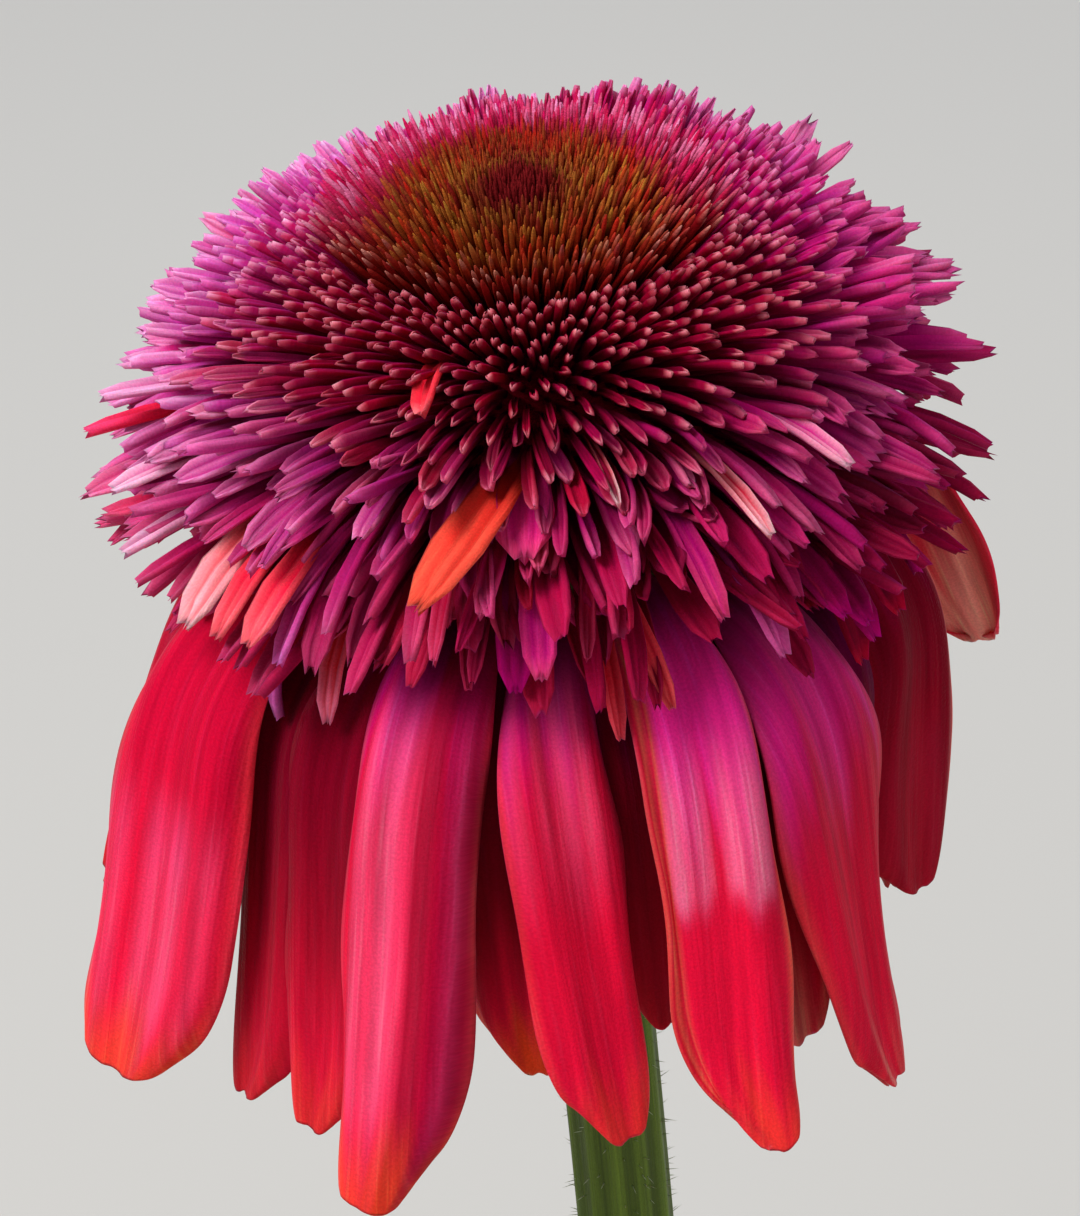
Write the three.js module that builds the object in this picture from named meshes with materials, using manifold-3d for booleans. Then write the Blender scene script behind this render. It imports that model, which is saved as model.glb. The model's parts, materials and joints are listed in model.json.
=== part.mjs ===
// A potted double coneflower: a pompon of florets over drooping ray petals, on a leafy stem in a clay pot.
// Millimetres, +Z up, and the front faces -Y. The origin is the middle of the pot's underside.
import * as THREE from "three";
import { mergeVertices } from "three/addons/utils/BufferGeometryUtils.js";
import Module from "manifold-3d";

const wasm = await Module();
wasm.setup();

// Driving dimensions. Angles are in degrees: azimuth 0 faces the front and 90 faces +X,
// slope and lean are measured from the horizontal, and flare from the vertical.
const gap = 0.35; // between pieces that touch
const pot = {
  height: 125, baseRadius: 47, neckRadius: 62, rimRadius: 70, rimHeight: 28,
  wall: 6.5, floor: 8, edge: 2, sides: 32,
};
const drain = { count: 3, radius: 5, circle: 24 };
const soil = { depthBelowRim: 13, mound: 4, crumb: 1.5, rootDepth: 14, rings: 6 };
const head = { x: -3, y: -3, height: 352, tiltLeft: 5, tiltForward: 1 };
const stem = { radius: 3.7, footRadius: 4, bulge: 14, footRun: 100, headRun: 70, sides: 10, steps: 16 };
const receptacle = { radius: 11, top: -3.15, side: -8.6, foot: -13, footRadius: 3.7, sides: 24 };
const bract = { count: 16, length: 9, width: 3, depth: 1.2, inset: 3, scatter: 8, slope: -28, tipSlope: -72 };
const dome = { radius: 17, rise: 16.5, middle: 2, floor: -2.8, floorRadius: 13.5, cut: 14, sides: 18 };
const cone = { spikes: 130, length: 4.3, width: 1.5, sink: 0.8, rim: 3.5, middle: 0.8, edge: 1.1 };
const pompon = {
  florets: 240, top: 44, bottom: -9, crowding: 1.2, longest: 13.8, shortest: 6.6, shortShare: 0.4,
  width: 2.9, depth: 1.5, sink: 1.2, droop: 30, droopSpread: 14, swing: 10,
  frontLift: 3, frontShortening: 0.08, inner: 0.5, wideFrom: 0.67,
};
const ray = {
  thickness: 0.7, ridge: 0.55, curl: 0.26, notch: 0.8, lobe: 0.3, claw: 0.3, widestFrom: 0.55, tipFrom: 0.76,
  tipNarrowing: 0.93, tipLean: 0.55, root: 11.4, top: -4.3, rootSlope: -4, layer: 1.55, bend: 24, layerBend: 3,
};
const leafThickness = 0.8;

// One line per ray petal: azimuth, drift towards the tip, length, width, flare, roll, layer, where layer 0
// is the outermost, and how far the tip leans to one edge, from -1 for the left to 1 for the right.
const rays = [
  [-92, -3, 42, 10, 21, -12, 1, 0],
  [-66, -4, 51, 13.5, 15, -28, 0, -0.4],
  [-54, -12, 46, 9, 10, -8, 2, -0.8],
  [-36, -14, 46, 10, 9, -6, 1, -0.6],
  [-20, -16, 50, 11, 17, 6, 0, -0.4],
  [-11, -6, 39, 9, -2, 0, 2, 0.3],
  [-2, 28, 43, 8.5, 13, -8, 1, 0.2],
  [13, 8, 35, 8, 2, 0, 2, 0],
  [21, -18, 47, 9.5, 11, 8, 0, 0.9],
  [34, 8, 39, 9, 5, 0, 2, 0],
  [43, 4, 48, 10.5, 6, -30, 1, 0.9],
  [59, 0, 42, 8, -9, 0, 2, 0],
  [82, -2, 42, 11, -4, 32, 1, 0.3],
  [102, 2, 44, 10, -2, 0, 2, 0.2],
  [126, 8, 44, 12, 22, -30, 0, -0.3],
  [146, 0, 46, 10.5, 3, 0, 1, 0.4],
  [163, 2, 50, 11, 8, 5, 0, -0.3],
  [181, -2, 46, 10.5, 3, 0, 1, 0],
  [199, -3, 50, 11, 9, 4, 0, 0.5],
  [217, 2, 47, 10.5, 5, 0, 1, -0.5],
  [235, 0, 50, 11, 12, -4, 0, 0.3],
  [252, 0, 44, 10, 6, 0, 2, -0.2],
].map(([azimuth, drift, length, width, flare, roll, layer, tipLean]) => ({
  azimuth, drift, length, width, flare, roll, layer, tipLean,
}));

// Leaves from the crown: azimuth, stalk, blade, width, lean at the root, lean at the tip and roll.
const crownLeaves = [
  [-64, 62, 112, 44, 68, -42, 8],
  [-14, 40, 92, 36, 60, -48, -6],
  [38, 58, 108, 42, 66, -38, -8],
  [88, 46, 100, 40, 62, -50, 10],
  [137, 66, 116, 45, 70, -36, -4],
  [188, 48, 98, 38, 61, -48, 7],
  [242, 60, 110, 43, 67, -40, -9],
].map(([azimuth, stalk, length, width, lean, tipLean, roll]) => ({
  azimuth, stalk, length, width, lean, tipLean, roll,
}));
const crown = { radius: 9.5, rootLift: 4, stalkHalf: 1.7, teeth: 7, fold: 0.22, toothDepth: 0.07 };

// Leaves up the stem, from the lowest: height, azimuth, stalk, blade, width, lean, tip lean and roll.
const stemLeaves = [
  [158, 12, 16, 92, 27, 58, -40, 6],
  [186, 200, 12, 80, 22, 56, -34, -8],
  [212, 88, 8, 66, 17, 54, -30, 8],
  [236, -72, 5, 52, 12, 50, -26, -6],
].map(([height, azimuth, stalk, length, width, lean, tipLean, roll]) => ({
  height, azimuth, stalk, length, width, lean, tipLean, roll,
}));
const stemLeaf = { clear: 0.9, stalkHalf: 1.1, teeth: 4, fold: 0.26, toothDepth: 0.06 };
const tooth = { swell: 0.45, cut: 0.75 }; // parts of a tooth's length at its widest and at its notch
const stalk = { rib: 2.6, edge: 1.4, straight: 0.12 }; // thickness in its middle and at its edges
const leafShape = { widest: 0.72, fullness: 0.85, taper: 0.25 };
const blade = { rib: 1.5, edge: leafThickness, tip: 0.4 };

const radians = Math.PI / 180;
const goldenAngle = Math.PI * (3 - Math.sqrt(5));
const mix = (from, to, share) => from + (to - from) * share;
const clamp = (value) => Math.min(1, Math.max(0, value));
const smooth = (value) => clamp(value) ** 2 * (3 - 2 * clamp(value));

// A repeatable draw from 0 to 1 for one item and one purpose.
const drawWave = { item: 12.9898, purpose: 78.233, stretch: 43758.5453 };
function draw(item, purpose) {
  const wave = Math.sin(item * drawWave.item + purpose * drawWave.purpose) * drawWave.stretch;
  return wave - Math.floor(wave);
}

// Walks from a start point, turning as heading(share) says, and notes the point and the three
// directions at each station: along the walk, across it, and out of its upper face.
function walk(start, length, stations, heading) {
  const stepsPerWalk = 160;
  const frames = [];
  const point = start.clone();
  let walked = 0;
  for (const station of stations) {
    const steps = Math.max(1, Math.round((station - walked) * stepsPerWalk));
    const step = (station - walked) / steps;
    for (let i = 0; i < steps; i++) {
      point.addScaledVector(directions(heading(walked + step * (i + 0.5))).along, step * length);
    }
    walked = station;
    frames.push({ share: station, point: point.clone(), ...directions(heading(station)) });
  }
  return frames;
}

function directions({ azimuth, slope, roll = 0 }) {
  const a = azimuth * radians;
  const outward = new THREE.Vector3(Math.sin(a), -Math.cos(a), 0);
  const along = outward.multiplyScalar(Math.cos(slope * radians)).setZ(Math.sin(slope * radians));
  const across = new THREE.Vector3(Math.cos(a), Math.sin(a), 0).applyAxisAngle(along, roll * radians);
  return { along, across, out: along.clone().cross(across) };
}

// A closed blade: each row gives every column's offset across, out and along, and its thickness.
// Both faces are split along the same diagonals.
function bladeGeometry(frames, section) {
  const points = [];
  const rows = frames.map((frame) => section(frame.share));
  const columns = rows[0].length;
  for (const side of [0.5, -0.5]) {
    frames.forEach(({ point, along, across, out }, i) => {
      for (const column of rows[i]) {
        const vertex = point.clone().addScaledVector(across, column.across);
        vertex.addScaledVector(along, column.along ?? 0);
        points.push(...vertex.addScaledVector(out, column.out + side * column.thick).toArray());
      }
    });
  }
  const under = frames.length * columns;
  const top = (i, j) => i * columns + j;
  const faces = [];
  const quad = (a, b, c, d) => faces.push(a, b, c, b, d, c);
  for (let i = 0; i + 1 < frames.length; i++) {
    for (let j = 0; j + 1 < columns; j++) {
      const [a, b, c, d] = [top(i, j), top(i + 1, j), top(i, j + 1), top(i + 1, j + 1)];
      quad(a, b, c, d);
      faces.push(a + under, c + under, b + under, b + under, c + under, d + under);
    }
  }
  const wall = (from, to) => quad(from, to, from + under, to + under);
  for (let i = 0; i + 1 < frames.length; i++) {
    wall(top(i + 1, 0), top(i, 0));
    wall(top(i, columns - 1), top(i + 1, columns - 1));
  }
  for (let j = 0; j + 1 < columns; j++) {
    wall(top(0, j), top(0, j + 1));
    wall(top(frames.length - 1, j + 1), top(frames.length - 1, j));
  }
  return geometryOf(points, faces);
}

// Half widths and half depths at each station, as shares of a piece's width and depth.
const scaled = (shares, { width, depth }) => shares.map(([w, d]) => [w * width, d * depth]);

// A closed tube of elliptical rings along the frames, with a flat root, and a point where it ends at 0.
function tubeGeometry(frames, halfSizes, sides) {
  const points = [];
  frames.forEach(({ point, across, out }, i) => {
    const [half, halfDepth] = halfSizes[i];
    for (let k = 0; k < sides; k++) {
      const turn = (2 * Math.PI * k) / sides + Math.PI / 2;
      const ringPoint = point.clone().addScaledVector(across, half * Math.cos(turn));
      points.push(...ringPoint.addScaledVector(out, halfDepth * Math.sin(turn)).toArray());
    }
  });
  const pointed = halfSizes.at(-1)[0] === 0;
  const rings = pointed ? frames.length - 1 : frames.length;
  if (pointed) points.length = rings * sides * 3;
  const [root, tip] = [rings * sides, rings * sides + 1];
  points.push(...frames[0].point.toArray(), ...frames.at(-1).point.toArray());
  const faces = [];
  for (let k = 0; k < sides; k++) {
    const next = (k + 1) % sides;
    faces.push(root, next, k);
    for (let i = 0; i + 1 < rings; i++) {
      const [low, high] = [i * sides, (i + 1) * sides];
      faces.push(low + k, low + next, high + k, low + next, high + next, high + k);
    }
    faces.push((rings - 1) * sides + k, (rings - 1) * sides + next, tip);
  }
  return geometryOf(points, faces);
}

function geometryOf(points, faces) {
  const geometry = new THREE.BufferGeometry();
  return geometry.setAttribute("position", new THREE.Float32BufferAttribute(points, 3)).setIndex(faces);
}

function latheGeometry(profile, sides) {
  const points = profile.map(([radius, z]) => new THREE.Vector2(radius, z));
  return new THREE.LatheGeometry(points, sides).rotateX(Math.PI / 2);
}

function solidOf(geometry) {
  const bare = new THREE.BufferGeometry();
  bare.setAttribute("position", geometry.getAttribute("position")).setIndex(geometry.getIndex());
  const merged = mergeVertices(bare);
  const vertProperties = merged.attributes.position.array;
  const triVerts = new Uint32Array(merged.index.array);
  return new wasm.Manifold(new wasm.Mesh({ numProp: 3, vertProperties, triVerts }));
}

// The largest body of a solid, without any scrap that a cut left loose.
function geometryOfSolid(solid) {
  const body = solid.decompose().sort((a, b) => b.volume() - a.volume())[0];
  const { vertProperties, triVerts } = body.getMesh();
  return geometryOf(Array.from(vertProperties), Array.from(triVerts));
}

function material(color, roughness) {
  return new THREE.MeshStandardMaterial({ color, roughness, metalness: 0 });
}
const clay = material(0xb8643c, 0.85);
const pottingSoil = material(0x2e2118, 0.95);
const leafGreen = material(0x4c7a2c, 0.6);
const stemGreen = material(0x6d8a3a, 0.6);
const magenta = material(0xa01a5c, 0.5);
const ember = material(0x8a3a1c, 0.6);
const petalRed = material(0xd8203c, 0.45);

function mesh(name, geometry, finish) {
  const made = new THREE.Mesh(geometry, finish);
  made.name = name;
  return made;
}

const soilTop = pot.height - soil.depthBelowRim;

// The outer wall's radius at a height, under the rim band and inside it.
function wallRadius(z) {
  return mix(pot.baseRadius, pot.neckRadius, z / (pot.height - pot.rimHeight));
}

function potMesh() {
  const rimFoot = pot.height - pot.rimHeight;
  const inner = (z) => wallRadius(z) - pot.wall;
  const profile = [
    [0, 0], [pot.baseRadius - pot.edge, 0], [pot.baseRadius, pot.edge], [pot.neckRadius, rimFoot],
    [pot.rimRadius - pot.edge, rimFoot + 1], [pot.rimRadius - 1, rimFoot + pot.edge],
    [pot.rimRadius, pot.height - pot.edge], [pot.rimRadius - pot.edge, pot.height],
    [inner(pot.height) + pot.edge, pot.height], [inner(pot.height - pot.edge), pot.height - pot.edge],
    [inner(pot.floor), pot.floor], [0, pot.floor],
  ];
  let solid = solidOf(latheGeometry(profile, pot.sides));
  for (let i = 0; i < drain.count; i++) {
    const hole = new THREE.CylinderGeometry(drain.radius, drain.radius, pot.floor * 3, 12);
    const turn = (2 * Math.PI * i) / drain.count;
    hole.rotateX(Math.PI / 2).translate(drain.circle * Math.cos(turn), drain.circle * Math.sin(turn), 0);
    solid = solid.subtract(solidOf(hole));
  }
  return mesh("pot", geometryOfSolid(solid), clay);
}
// Height of the soil: a low mound, with crumbs drawn for each point of its grid.
function soilHeight(radius, item) {
  return soilTop + soil.mound * (1 - (radius / pot.neckRadius) ** 2) + soil.crumb * (draw(item, 1) - 0.5);
}

function soilGeometry() {
  const { rings } = soil;
  const { sides } = pot;
  const points = [0, 0, soilHeight(0, 0)];
  const faces = [];
  const edge = wallRadius(soilTop) - pot.wall - gap;
  const profile = [];
  for (let ring = 1; ring <= rings; ring++) profile.push({ radius: (edge * ring) / rings, ring });
  profile.push({ radius: wallRadius(pot.floor) - pot.wall - gap, height: pot.floor + gap });
  for (const { radius, ring, height } of profile) {
    for (let k = 0; k < sides; k++) {
      const turn = (2 * Math.PI * k) / sides;
      const z = height ?? (ring === rings ? soilTop : soilHeight(radius, ring * sides + k));
      points.push(radius * Math.sin(turn), -radius * Math.cos(turn), z);
    }
  }
  points.push(0, 0, pot.floor + gap);
  const last = points.length / 3 - 1;
  for (let k = 0; k < sides; k++) {
    const next = (k + 1) % sides;
    faces.push(0, 1 + k, 1 + next);
    for (let i = 0; i + 1 < profile.length; i++) {
      const [inner, outer] = [1 + i * sides, 1 + (i + 1) * sides];
      faces.push(inner + k, outer + k, inner + next, inner + next, outer + k, outer + next);
    }
    faces.push(1 + (profile.length - 1) * sides + k, last, 1 + (profile.length - 1) * sides + next);
  }
  return geometryOf(points, faces);
}

// The head's own frame: its origin is the middle of the widest ring of florets, its axis the stem's end.
const headPlace = new THREE.Vector3(head.x, head.y, head.height);
const headTurn = new THREE.Euler(head.tiltForward * radians, -head.tiltLeft * radians, 0);
const headAxis = new THREE.Vector3(0, 0, 1).applyEuler(headTurn);

// The stem rises from the crown, bows to the right and leans over into the head's axis.
const stemFoot = new THREE.Vector3(0, 0, soilTop - soil.rootDepth);
const stemEnd = headPlace.clone().addScaledVector(headAxis, receptacle.foot - gap);
const stemCurve = new THREE.CubicBezierCurve3(
  stemFoot,
  stemFoot.clone().add(new THREE.Vector3(stem.bulge, 0, stem.footRun)),
  stemEnd.clone().addScaledVector(headAxis, -stem.headRun),
  stemEnd,
);

function stemFrames() {
  const frames = [];
  for (let i = 0; i <= stem.steps; i++) {
    const share = i / stem.steps;
    const along = stemCurve.getTangent(share);
    const across = new THREE.Vector3(0, 1, 0).cross(along).normalize();
    frames.push({ share, point: stemCurve.getPoint(share), along, across, out: along.clone().cross(across) });
  }
  return frames;
}

function stemMesh() {
  const sizes = stemFrames().map(({ share }) => {
    const half = mix(stem.footRadius, stem.radius, smooth(share * 2));
    return [half, half];
  });
  return mesh("stem", tubeGeometry(stemFrames(), sizes, stem.sides), stemGreen);
}

// Width of a leaf blade along its length, widest a third of the way up, with a drawn-out tip.
function leafOutline(share) {
  return Math.sin(Math.PI * share ** leafShape.widest) ** leafShape.fullness * (1 - leafShape.taper * share);
}

// Stations and section of a leaf: a narrow stalk, then a folded blade whose edge is cut into teeth.
function leafGeometry({ start, azimuth, stalk: stalkLength, length, width, lean, tipLean, roll }, kind) {
  const whole = stalkLength + length;
  const stalkShare = stalkLength / whole;
  const rows = [0, stalkShare / 2, stalkShare].map((share) => ({ share, half: kind.stalkHalf }));
  for (let i = 0; i < kind.teeth; i++) {
    for (const [part, depth] of [[tooth.swell, kind.toothDepth], [tooth.cut, -kind.toothDepth]]) {
      const along = (i + part) / kind.teeth;
      const half = Math.max(kind.stalkHalf, (width / 2) * leafOutline(along) * (1 + depth));
      rows.push({ share: mix(stalkShare, 1, along), half });
    }
  }
  rows.push({ share: 1, half: blade.tip });
  const heading = (share) => ({
    azimuth,
    slope: mix(lean, tipLean, smooth((share - stalk.straight) / (1 - stalk.straight))),
    roll: roll * share,
  });
  const frames = walk(start, whole, rows.map((row) => row.share), heading);
  return bladeGeometry(frames, (share) => {
    const { half } = rows.find((row) => row.share === share);
    const bladed = clamp((half - kind.stalkHalf) / (2 * kind.stalkHalf));
    return [-1, 0, 1].map((v) => ({
      across: v * half,
      out: kind.fold * half * Math.abs(v) * bladed,
      thick: v ? mix(stalk.edge, blade.edge, bladed) : mix(stalk.rib, blade.rib, bladed),
    }));
  });
}

function crownLeafPlace(leaf) {
  const foot = directions({ azimuth: leaf.azimuth, slope: 0 }).along.multiplyScalar(crown.radius);
  return { ...leaf, start: foot.setZ(stemFoot.z + crown.rootLift) };
}

function stemLeafPlace(leaf) {
  const share = (leaf.height - stemFoot.z) / (stemEnd.z - stemFoot.z);
  const outward = directions({ azimuth: leaf.azimuth, slope: 0 }).along;
  const clear = stem.footRadius + gap + stemLeaf.clear;
  return { ...leaf, start: stemCurve.getPoint(share).addScaledVector(outward, clear) };
}

// Soil with a plain hole for the stem and for each leaf stalk.
function soilMesh() {
  let solid = solidOf(soilGeometry());
  const hole = (point, along, pieceRadius) => {
    const radius = pieceRadius + 3 * gap;
    const depth = soil.rootDepth * 3;
    const cutter = new THREE.CylinderGeometry(radius, radius, depth, 8).translate(0, depth / 2 - 1, 0);
    cutter.applyQuaternion(new THREE.Quaternion().setFromUnitVectors(new THREE.Vector3(0, 1, 0), along));
    solid = solid.subtract(solidOf(cutter.translate(point.x, point.y, point.z)));
  };
  hole(stemFoot, stemCurve.getTangent(0), stem.footRadius);
  for (const leaf of crownLeaves) {
    const { along } = directions({ azimuth: leaf.azimuth, slope: leaf.lean });
    hole(crownLeafPlace(leaf).start, along, crown.stalkHalf);
  }
  return mesh("soil", geometryOfSolid(solid), pottingSoil);
}

// The green base of the head: a cup that flares from the stem, with a row of bent-back bracts.
function receptacleMesh() {
  const { radius, top, side, foot, footRadius } = receptacle;
  const profile = [
    [0, foot], [footRadius, foot], [mix(footRadius, radius, 0.25), mix(foot, side, 0.35)],
    [radius - 1, side], [radius, side + 1], [radius, top], [0, top],
  ];
  const parts = [solidOf(latheGeometry(profile, receptacle.sides))];
  for (let i = 0; i < bract.count; i++) {
    const azimuth = (360 * i) / bract.count + bract.scatter * (draw(i, 2) - 0.5);
    const start = directions({ azimuth, slope: 0 }).along.multiplyScalar(radius - bract.inset).setZ(side);
    const length = bract.length * mix(0.85, 1.15, draw(i, 3));
    const heading = (share) => ({ azimuth, slope: mix(bract.slope, bract.tipSlope, share) });
    const frames = walk(start, length, [0, 0.45, 0.75, 1], heading);
    const halfSizes = [[0.47, 0.55], [0.5, 0.5], [0.33, 0.42], [0, 0]];
    parts.push(solidOf(tubeGeometry(frames, scaled(halfSizes, bract), 4)));
  }
  return mesh("receptacle", geometryOfSolid(wasm.Manifold.union(parts)), leafGreen);
}

// A point of the dome under the florets, at a latitude, with the slope of the dome's normal there.
function domePoint(latitude, azimuth) {
  const u = latitude * radians;
  const { along } = directions({ azimuth, slope: 0 });
  const point = along.multiplyScalar(dome.radius * Math.cos(u)).setZ(dome.middle + dome.rise * Math.sin(u));
  return { point, slope: Math.atan2(Math.sin(u) / dome.rise, Math.cos(u) / dome.radius) / radians };
}

function domeProfile(from, to, steps) {
  return Array.from({ length: steps + 1 }, (_, i) => {
    const u = mix(from, to, i / steps) * radians;
    return [dome.radius * Math.cos(u), dome.middle + dome.rise * Math.sin(u)];
  });
}

// Latitude on the dome at a height.
const domeLatitude = (height) => Math.asin((height - dome.middle) / dome.rise) / radians;

// The pompon: flat pointed florets set round the dome by the golden angle. They stand straight out
// near the cone, and grow longer and droop more the lower they sit. The front ones are a little shorter.
function pomponMesh() {
  const base = [[0, dome.floor], [dome.floorRadius, dome.floor]];
  const wall = domeProfile(domeLatitude(dome.floor + 1.2), domeLatitude(dome.cut), 6);
  const parts = [solidOf(latheGeometry([...base, ...wall, [0, dome.cut]], dome.sides))];
  for (let i = 0; i < pompon.florets; i++) {
    const low = (i + 0.5) / pompon.florets;
    const azimuth = (i * goldenAngle) / radians;
    const facing = Math.cos(azimuth * radians);
    const level = mix(pompon.top, pompon.bottom, low ** pompon.crowding);
    const { point, slope } = domePoint(level + pompon.frontLift * facing * low ** 2, azimuth);
    const grown = mix(pompon.longest, pompon.shortest, clamp(level / pompon.top) ** 1.5);
    const evenLength = grown * (1 - pompon.frontShortening * facing * low);
    const length = evenLength * mix(0.88, 1.08, draw(i, 4)) + pompon.sink;
    const droop = pompon.droop * smooth(low) + pompon.droopSpread * (draw(i, 5) - 0.5);
    const swing = pompon.swing * (draw(i, 6) - 0.5);
    const start = point.addScaledVector(directions({ azimuth, slope }).along, -pompon.sink);
    const short = low < pompon.shortShare;
    const frames = walk(start, length, short ? [0, 0.6, 1] : [0, 0.45, 0.8, 1], (share) => ({
      azimuth: azimuth + swing * share,
      slope: slope - droop * share,
    }));
    const halfSizes = short
      ? [[0.4, 0.5], [0.5, 0.5], [0, 0]]
      : [[0.22, 0.3], [0.42, 0.5], [0.5, 0.45], [0, 0]];
    const width = mix(pompon.inner, 1, smooth(low / pompon.wideFrom)) * pompon.width;
    parts.push(solidOf(tubeGeometry(frames, scaled(halfSizes, { width, depth: pompon.depth }), 3)));
  }
  return mesh("pompon", geometryOfSolid(wasm.Manifold.union(parts)), magenta);
}

// The cone in the middle: short spikes over the dome's cap, closest together at the top.
function coneMesh() {
  const floor = dome.cut + gap;
  const cap = domeProfile(domeLatitude(floor), 90, 4).slice(0, -1);
  const parts = [solidOf(latheGeometry([[0, floor], ...cap, [0, dome.middle + dome.rise]], dome.sides))];
  for (let i = 0; i < cone.spikes; i++) {
    const outer = Math.sqrt((i + 0.5) / cone.spikes);
    const azimuth = (i * goldenAngle) / radians;
    const { point, slope } = domePoint(mix(90, domeLatitude(floor) + cone.rim, outer), azimuth);
    const { along } = directions({ azimuth, slope });
    const start = point.addScaledVector(along, -cone.sink);
    const size = mix(cone.middle, cone.edge, outer);
    const [length, width] = [cone.length * size + cone.sink, cone.width * size];
    const frames = walk(start, length, [0, 1], () => ({ azimuth, slope }));
    parts.push(solidOf(tubeGeometry(frames, scaled([[0.5, 0.5], [0, 0]], { width, depth: width }), 3)));
  }
  return mesh("cone", geometryOfSolid(wasm.Manifold.union(parts)), ember);
}

// Width of a ray petal along its length: a narrow claw, a long strap and a rounded tip.
function rayOutline(share) {
  const strap = mix(ray.claw, 1, Math.sin((Math.PI / 2) * clamp(share / ray.widestFrom)));
  return strap * Math.sqrt(1 - (atTip(share) * ray.tipNarrowing) ** 2);
}

// How far a station is into the rounded tip, from 0 to 1.
const atTip = (share) => clamp((share - ray.tipFrom) / (1 - ray.tipFrom));

// A ray petal leaves the receptacle level, bends over and hangs, with two ridges and a notched tip.
function rayGeometry({ azimuth, drift, length, width, flare, roll, layer, tipLean }) {
  const start = directions({ azimuth, slope: 0 }).along.multiplyScalar(ray.root + gap);
  start.setZ(ray.top - layer * ray.layer);
  const bend = (1.15 * (ray.bend - ray.layerBend * layer)) / length;
  const frames = walk(start, length, [0, 0.14, 0.28, 0.42, 0.58, 0.74, 0.88, 1], (share) => ({
    azimuth: azimuth + drift * smooth(share),
    slope: mix(ray.rootSlope, flare - 90, smooth(share / bend)),
    roll: roll * smooth(share * 1.4),
  }));
  // Each column's place across, how far it curls under, its ridge and how far its tip is cut back.
  const columns = [
    { v: -1, curl: -ray.curl, ridge: 0, cut: ray.notch }, { v: -0.5, curl: 0, ridge: ray.ridge, cut: -ray.lobe },
    { v: 0, curl: 0, ridge: 0, cut: ray.notch },
    { v: 0.5, curl: 0, ridge: ray.ridge, cut: -ray.lobe }, { v: 1, curl: -ray.curl, ridge: 0, cut: ray.notch },
  ];
  return bladeGeometry(frames, (share) => columns.map(({ v, curl, ridge, cut }) => {
    const half = (width / 2) * rayOutline(share);
    const lean = (width / 2) * ray.tipLean * tipLean * atTip(share) ** 2;
    return {
      across: v * half + lean,
      out: curl * half + ridge * rayOutline(share),
      along: share === 1 ? -cut : 0,
      thick: ray.thickness,
    };
  }));
}

const coneflower = new THREE.Group();
coneflower.add(potMesh(), soilMesh(), stemMesh());
crownLeaves.forEach((leaf, i) => {
  coneflower.add(mesh(`crown_leaf_${i + 1}`, leafGeometry(crownLeafPlace(leaf), crown), leafGreen));
});
stemLeaves.forEach((leaf, i) => {
  coneflower.add(mesh(`stem_leaf_${i + 1}`, leafGeometry(stemLeafPlace(leaf), stemLeaf), leafGreen));
});

const bloom = new THREE.Group();
bloom.position.copy(headPlace);
bloom.rotation.copy(headTurn);
bloom.add(receptacleMesh(), pomponMesh(), coneMesh());
rays.forEach((petal, i) => bloom.add(mesh(`ray_petal_${i + 1}`, rayGeometry(petal), petalRed)));
coneflower.add(bloom);

export default coneflower;
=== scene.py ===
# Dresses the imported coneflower: a double bloom over drooping petals, on a leafy stem in a clay pot.
# Shapes are worked out in millimetres and degrees, with azimuth 0 at the front (-Y) and 90 at +X.
import json
import math

import bpy
import numpy as np
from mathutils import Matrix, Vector

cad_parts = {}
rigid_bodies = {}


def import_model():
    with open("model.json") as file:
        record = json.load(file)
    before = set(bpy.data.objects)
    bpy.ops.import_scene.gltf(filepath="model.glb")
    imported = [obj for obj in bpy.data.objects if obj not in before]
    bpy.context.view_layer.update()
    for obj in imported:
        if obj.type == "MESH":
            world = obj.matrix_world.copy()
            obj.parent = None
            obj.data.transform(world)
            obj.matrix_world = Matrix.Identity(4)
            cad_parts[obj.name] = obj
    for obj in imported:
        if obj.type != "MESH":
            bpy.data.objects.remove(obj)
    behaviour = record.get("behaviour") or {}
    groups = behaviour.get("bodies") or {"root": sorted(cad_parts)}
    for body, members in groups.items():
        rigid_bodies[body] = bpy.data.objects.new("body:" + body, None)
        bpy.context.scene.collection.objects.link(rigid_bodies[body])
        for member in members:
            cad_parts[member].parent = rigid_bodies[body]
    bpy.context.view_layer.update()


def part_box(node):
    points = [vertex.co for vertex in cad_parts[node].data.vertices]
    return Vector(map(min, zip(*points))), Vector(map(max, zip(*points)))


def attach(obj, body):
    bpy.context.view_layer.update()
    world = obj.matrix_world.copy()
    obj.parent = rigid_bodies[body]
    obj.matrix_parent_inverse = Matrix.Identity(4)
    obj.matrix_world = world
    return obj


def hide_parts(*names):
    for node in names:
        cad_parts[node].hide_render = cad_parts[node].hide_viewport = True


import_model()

mm = 0.001
goldenAngle = math.degrees(math.pi * (3 - math.sqrt(5)))
flatten = np.array([1, 1, 0])

for leftover in [o for o in bpy.data.objects if o.name in ("Cube", "Light", "Camera")]:
    bpy.data.objects.remove(leftover)


def clamp(value):
    return np.clip(value, 0, 1)


def mix(low, high, share):
    return low + (high - low) * share


# Runs from 0 to 1 with level ends: three squares less two cubes of the share.
def smooth(value):
    return clamp(value) ** 2 * (3 - 2 * clamp(value))


# Runs smoothly from 0 at the start to 1 a width past it.
def ramp(value, start, width):
    return smooth((value - start) / width)


# A bell of height 1 round its centre.
def bell(value, centre, width):
    return np.exp(-((value - centre) / width) ** 2)


def unit(vectors):
    return vectors / np.linalg.norm(vectors, axis=-1, keepdims=True)


# A repeatable draw from 0 to 1 for each item and one purpose: the fraction of a long stretched sine.
def draw(item, purpose):
    wave = np.sin(np.asarray(item) * 12.9898 + purpose * 78.233) * 43758.5453
    return wave - np.floor(wave)


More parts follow.
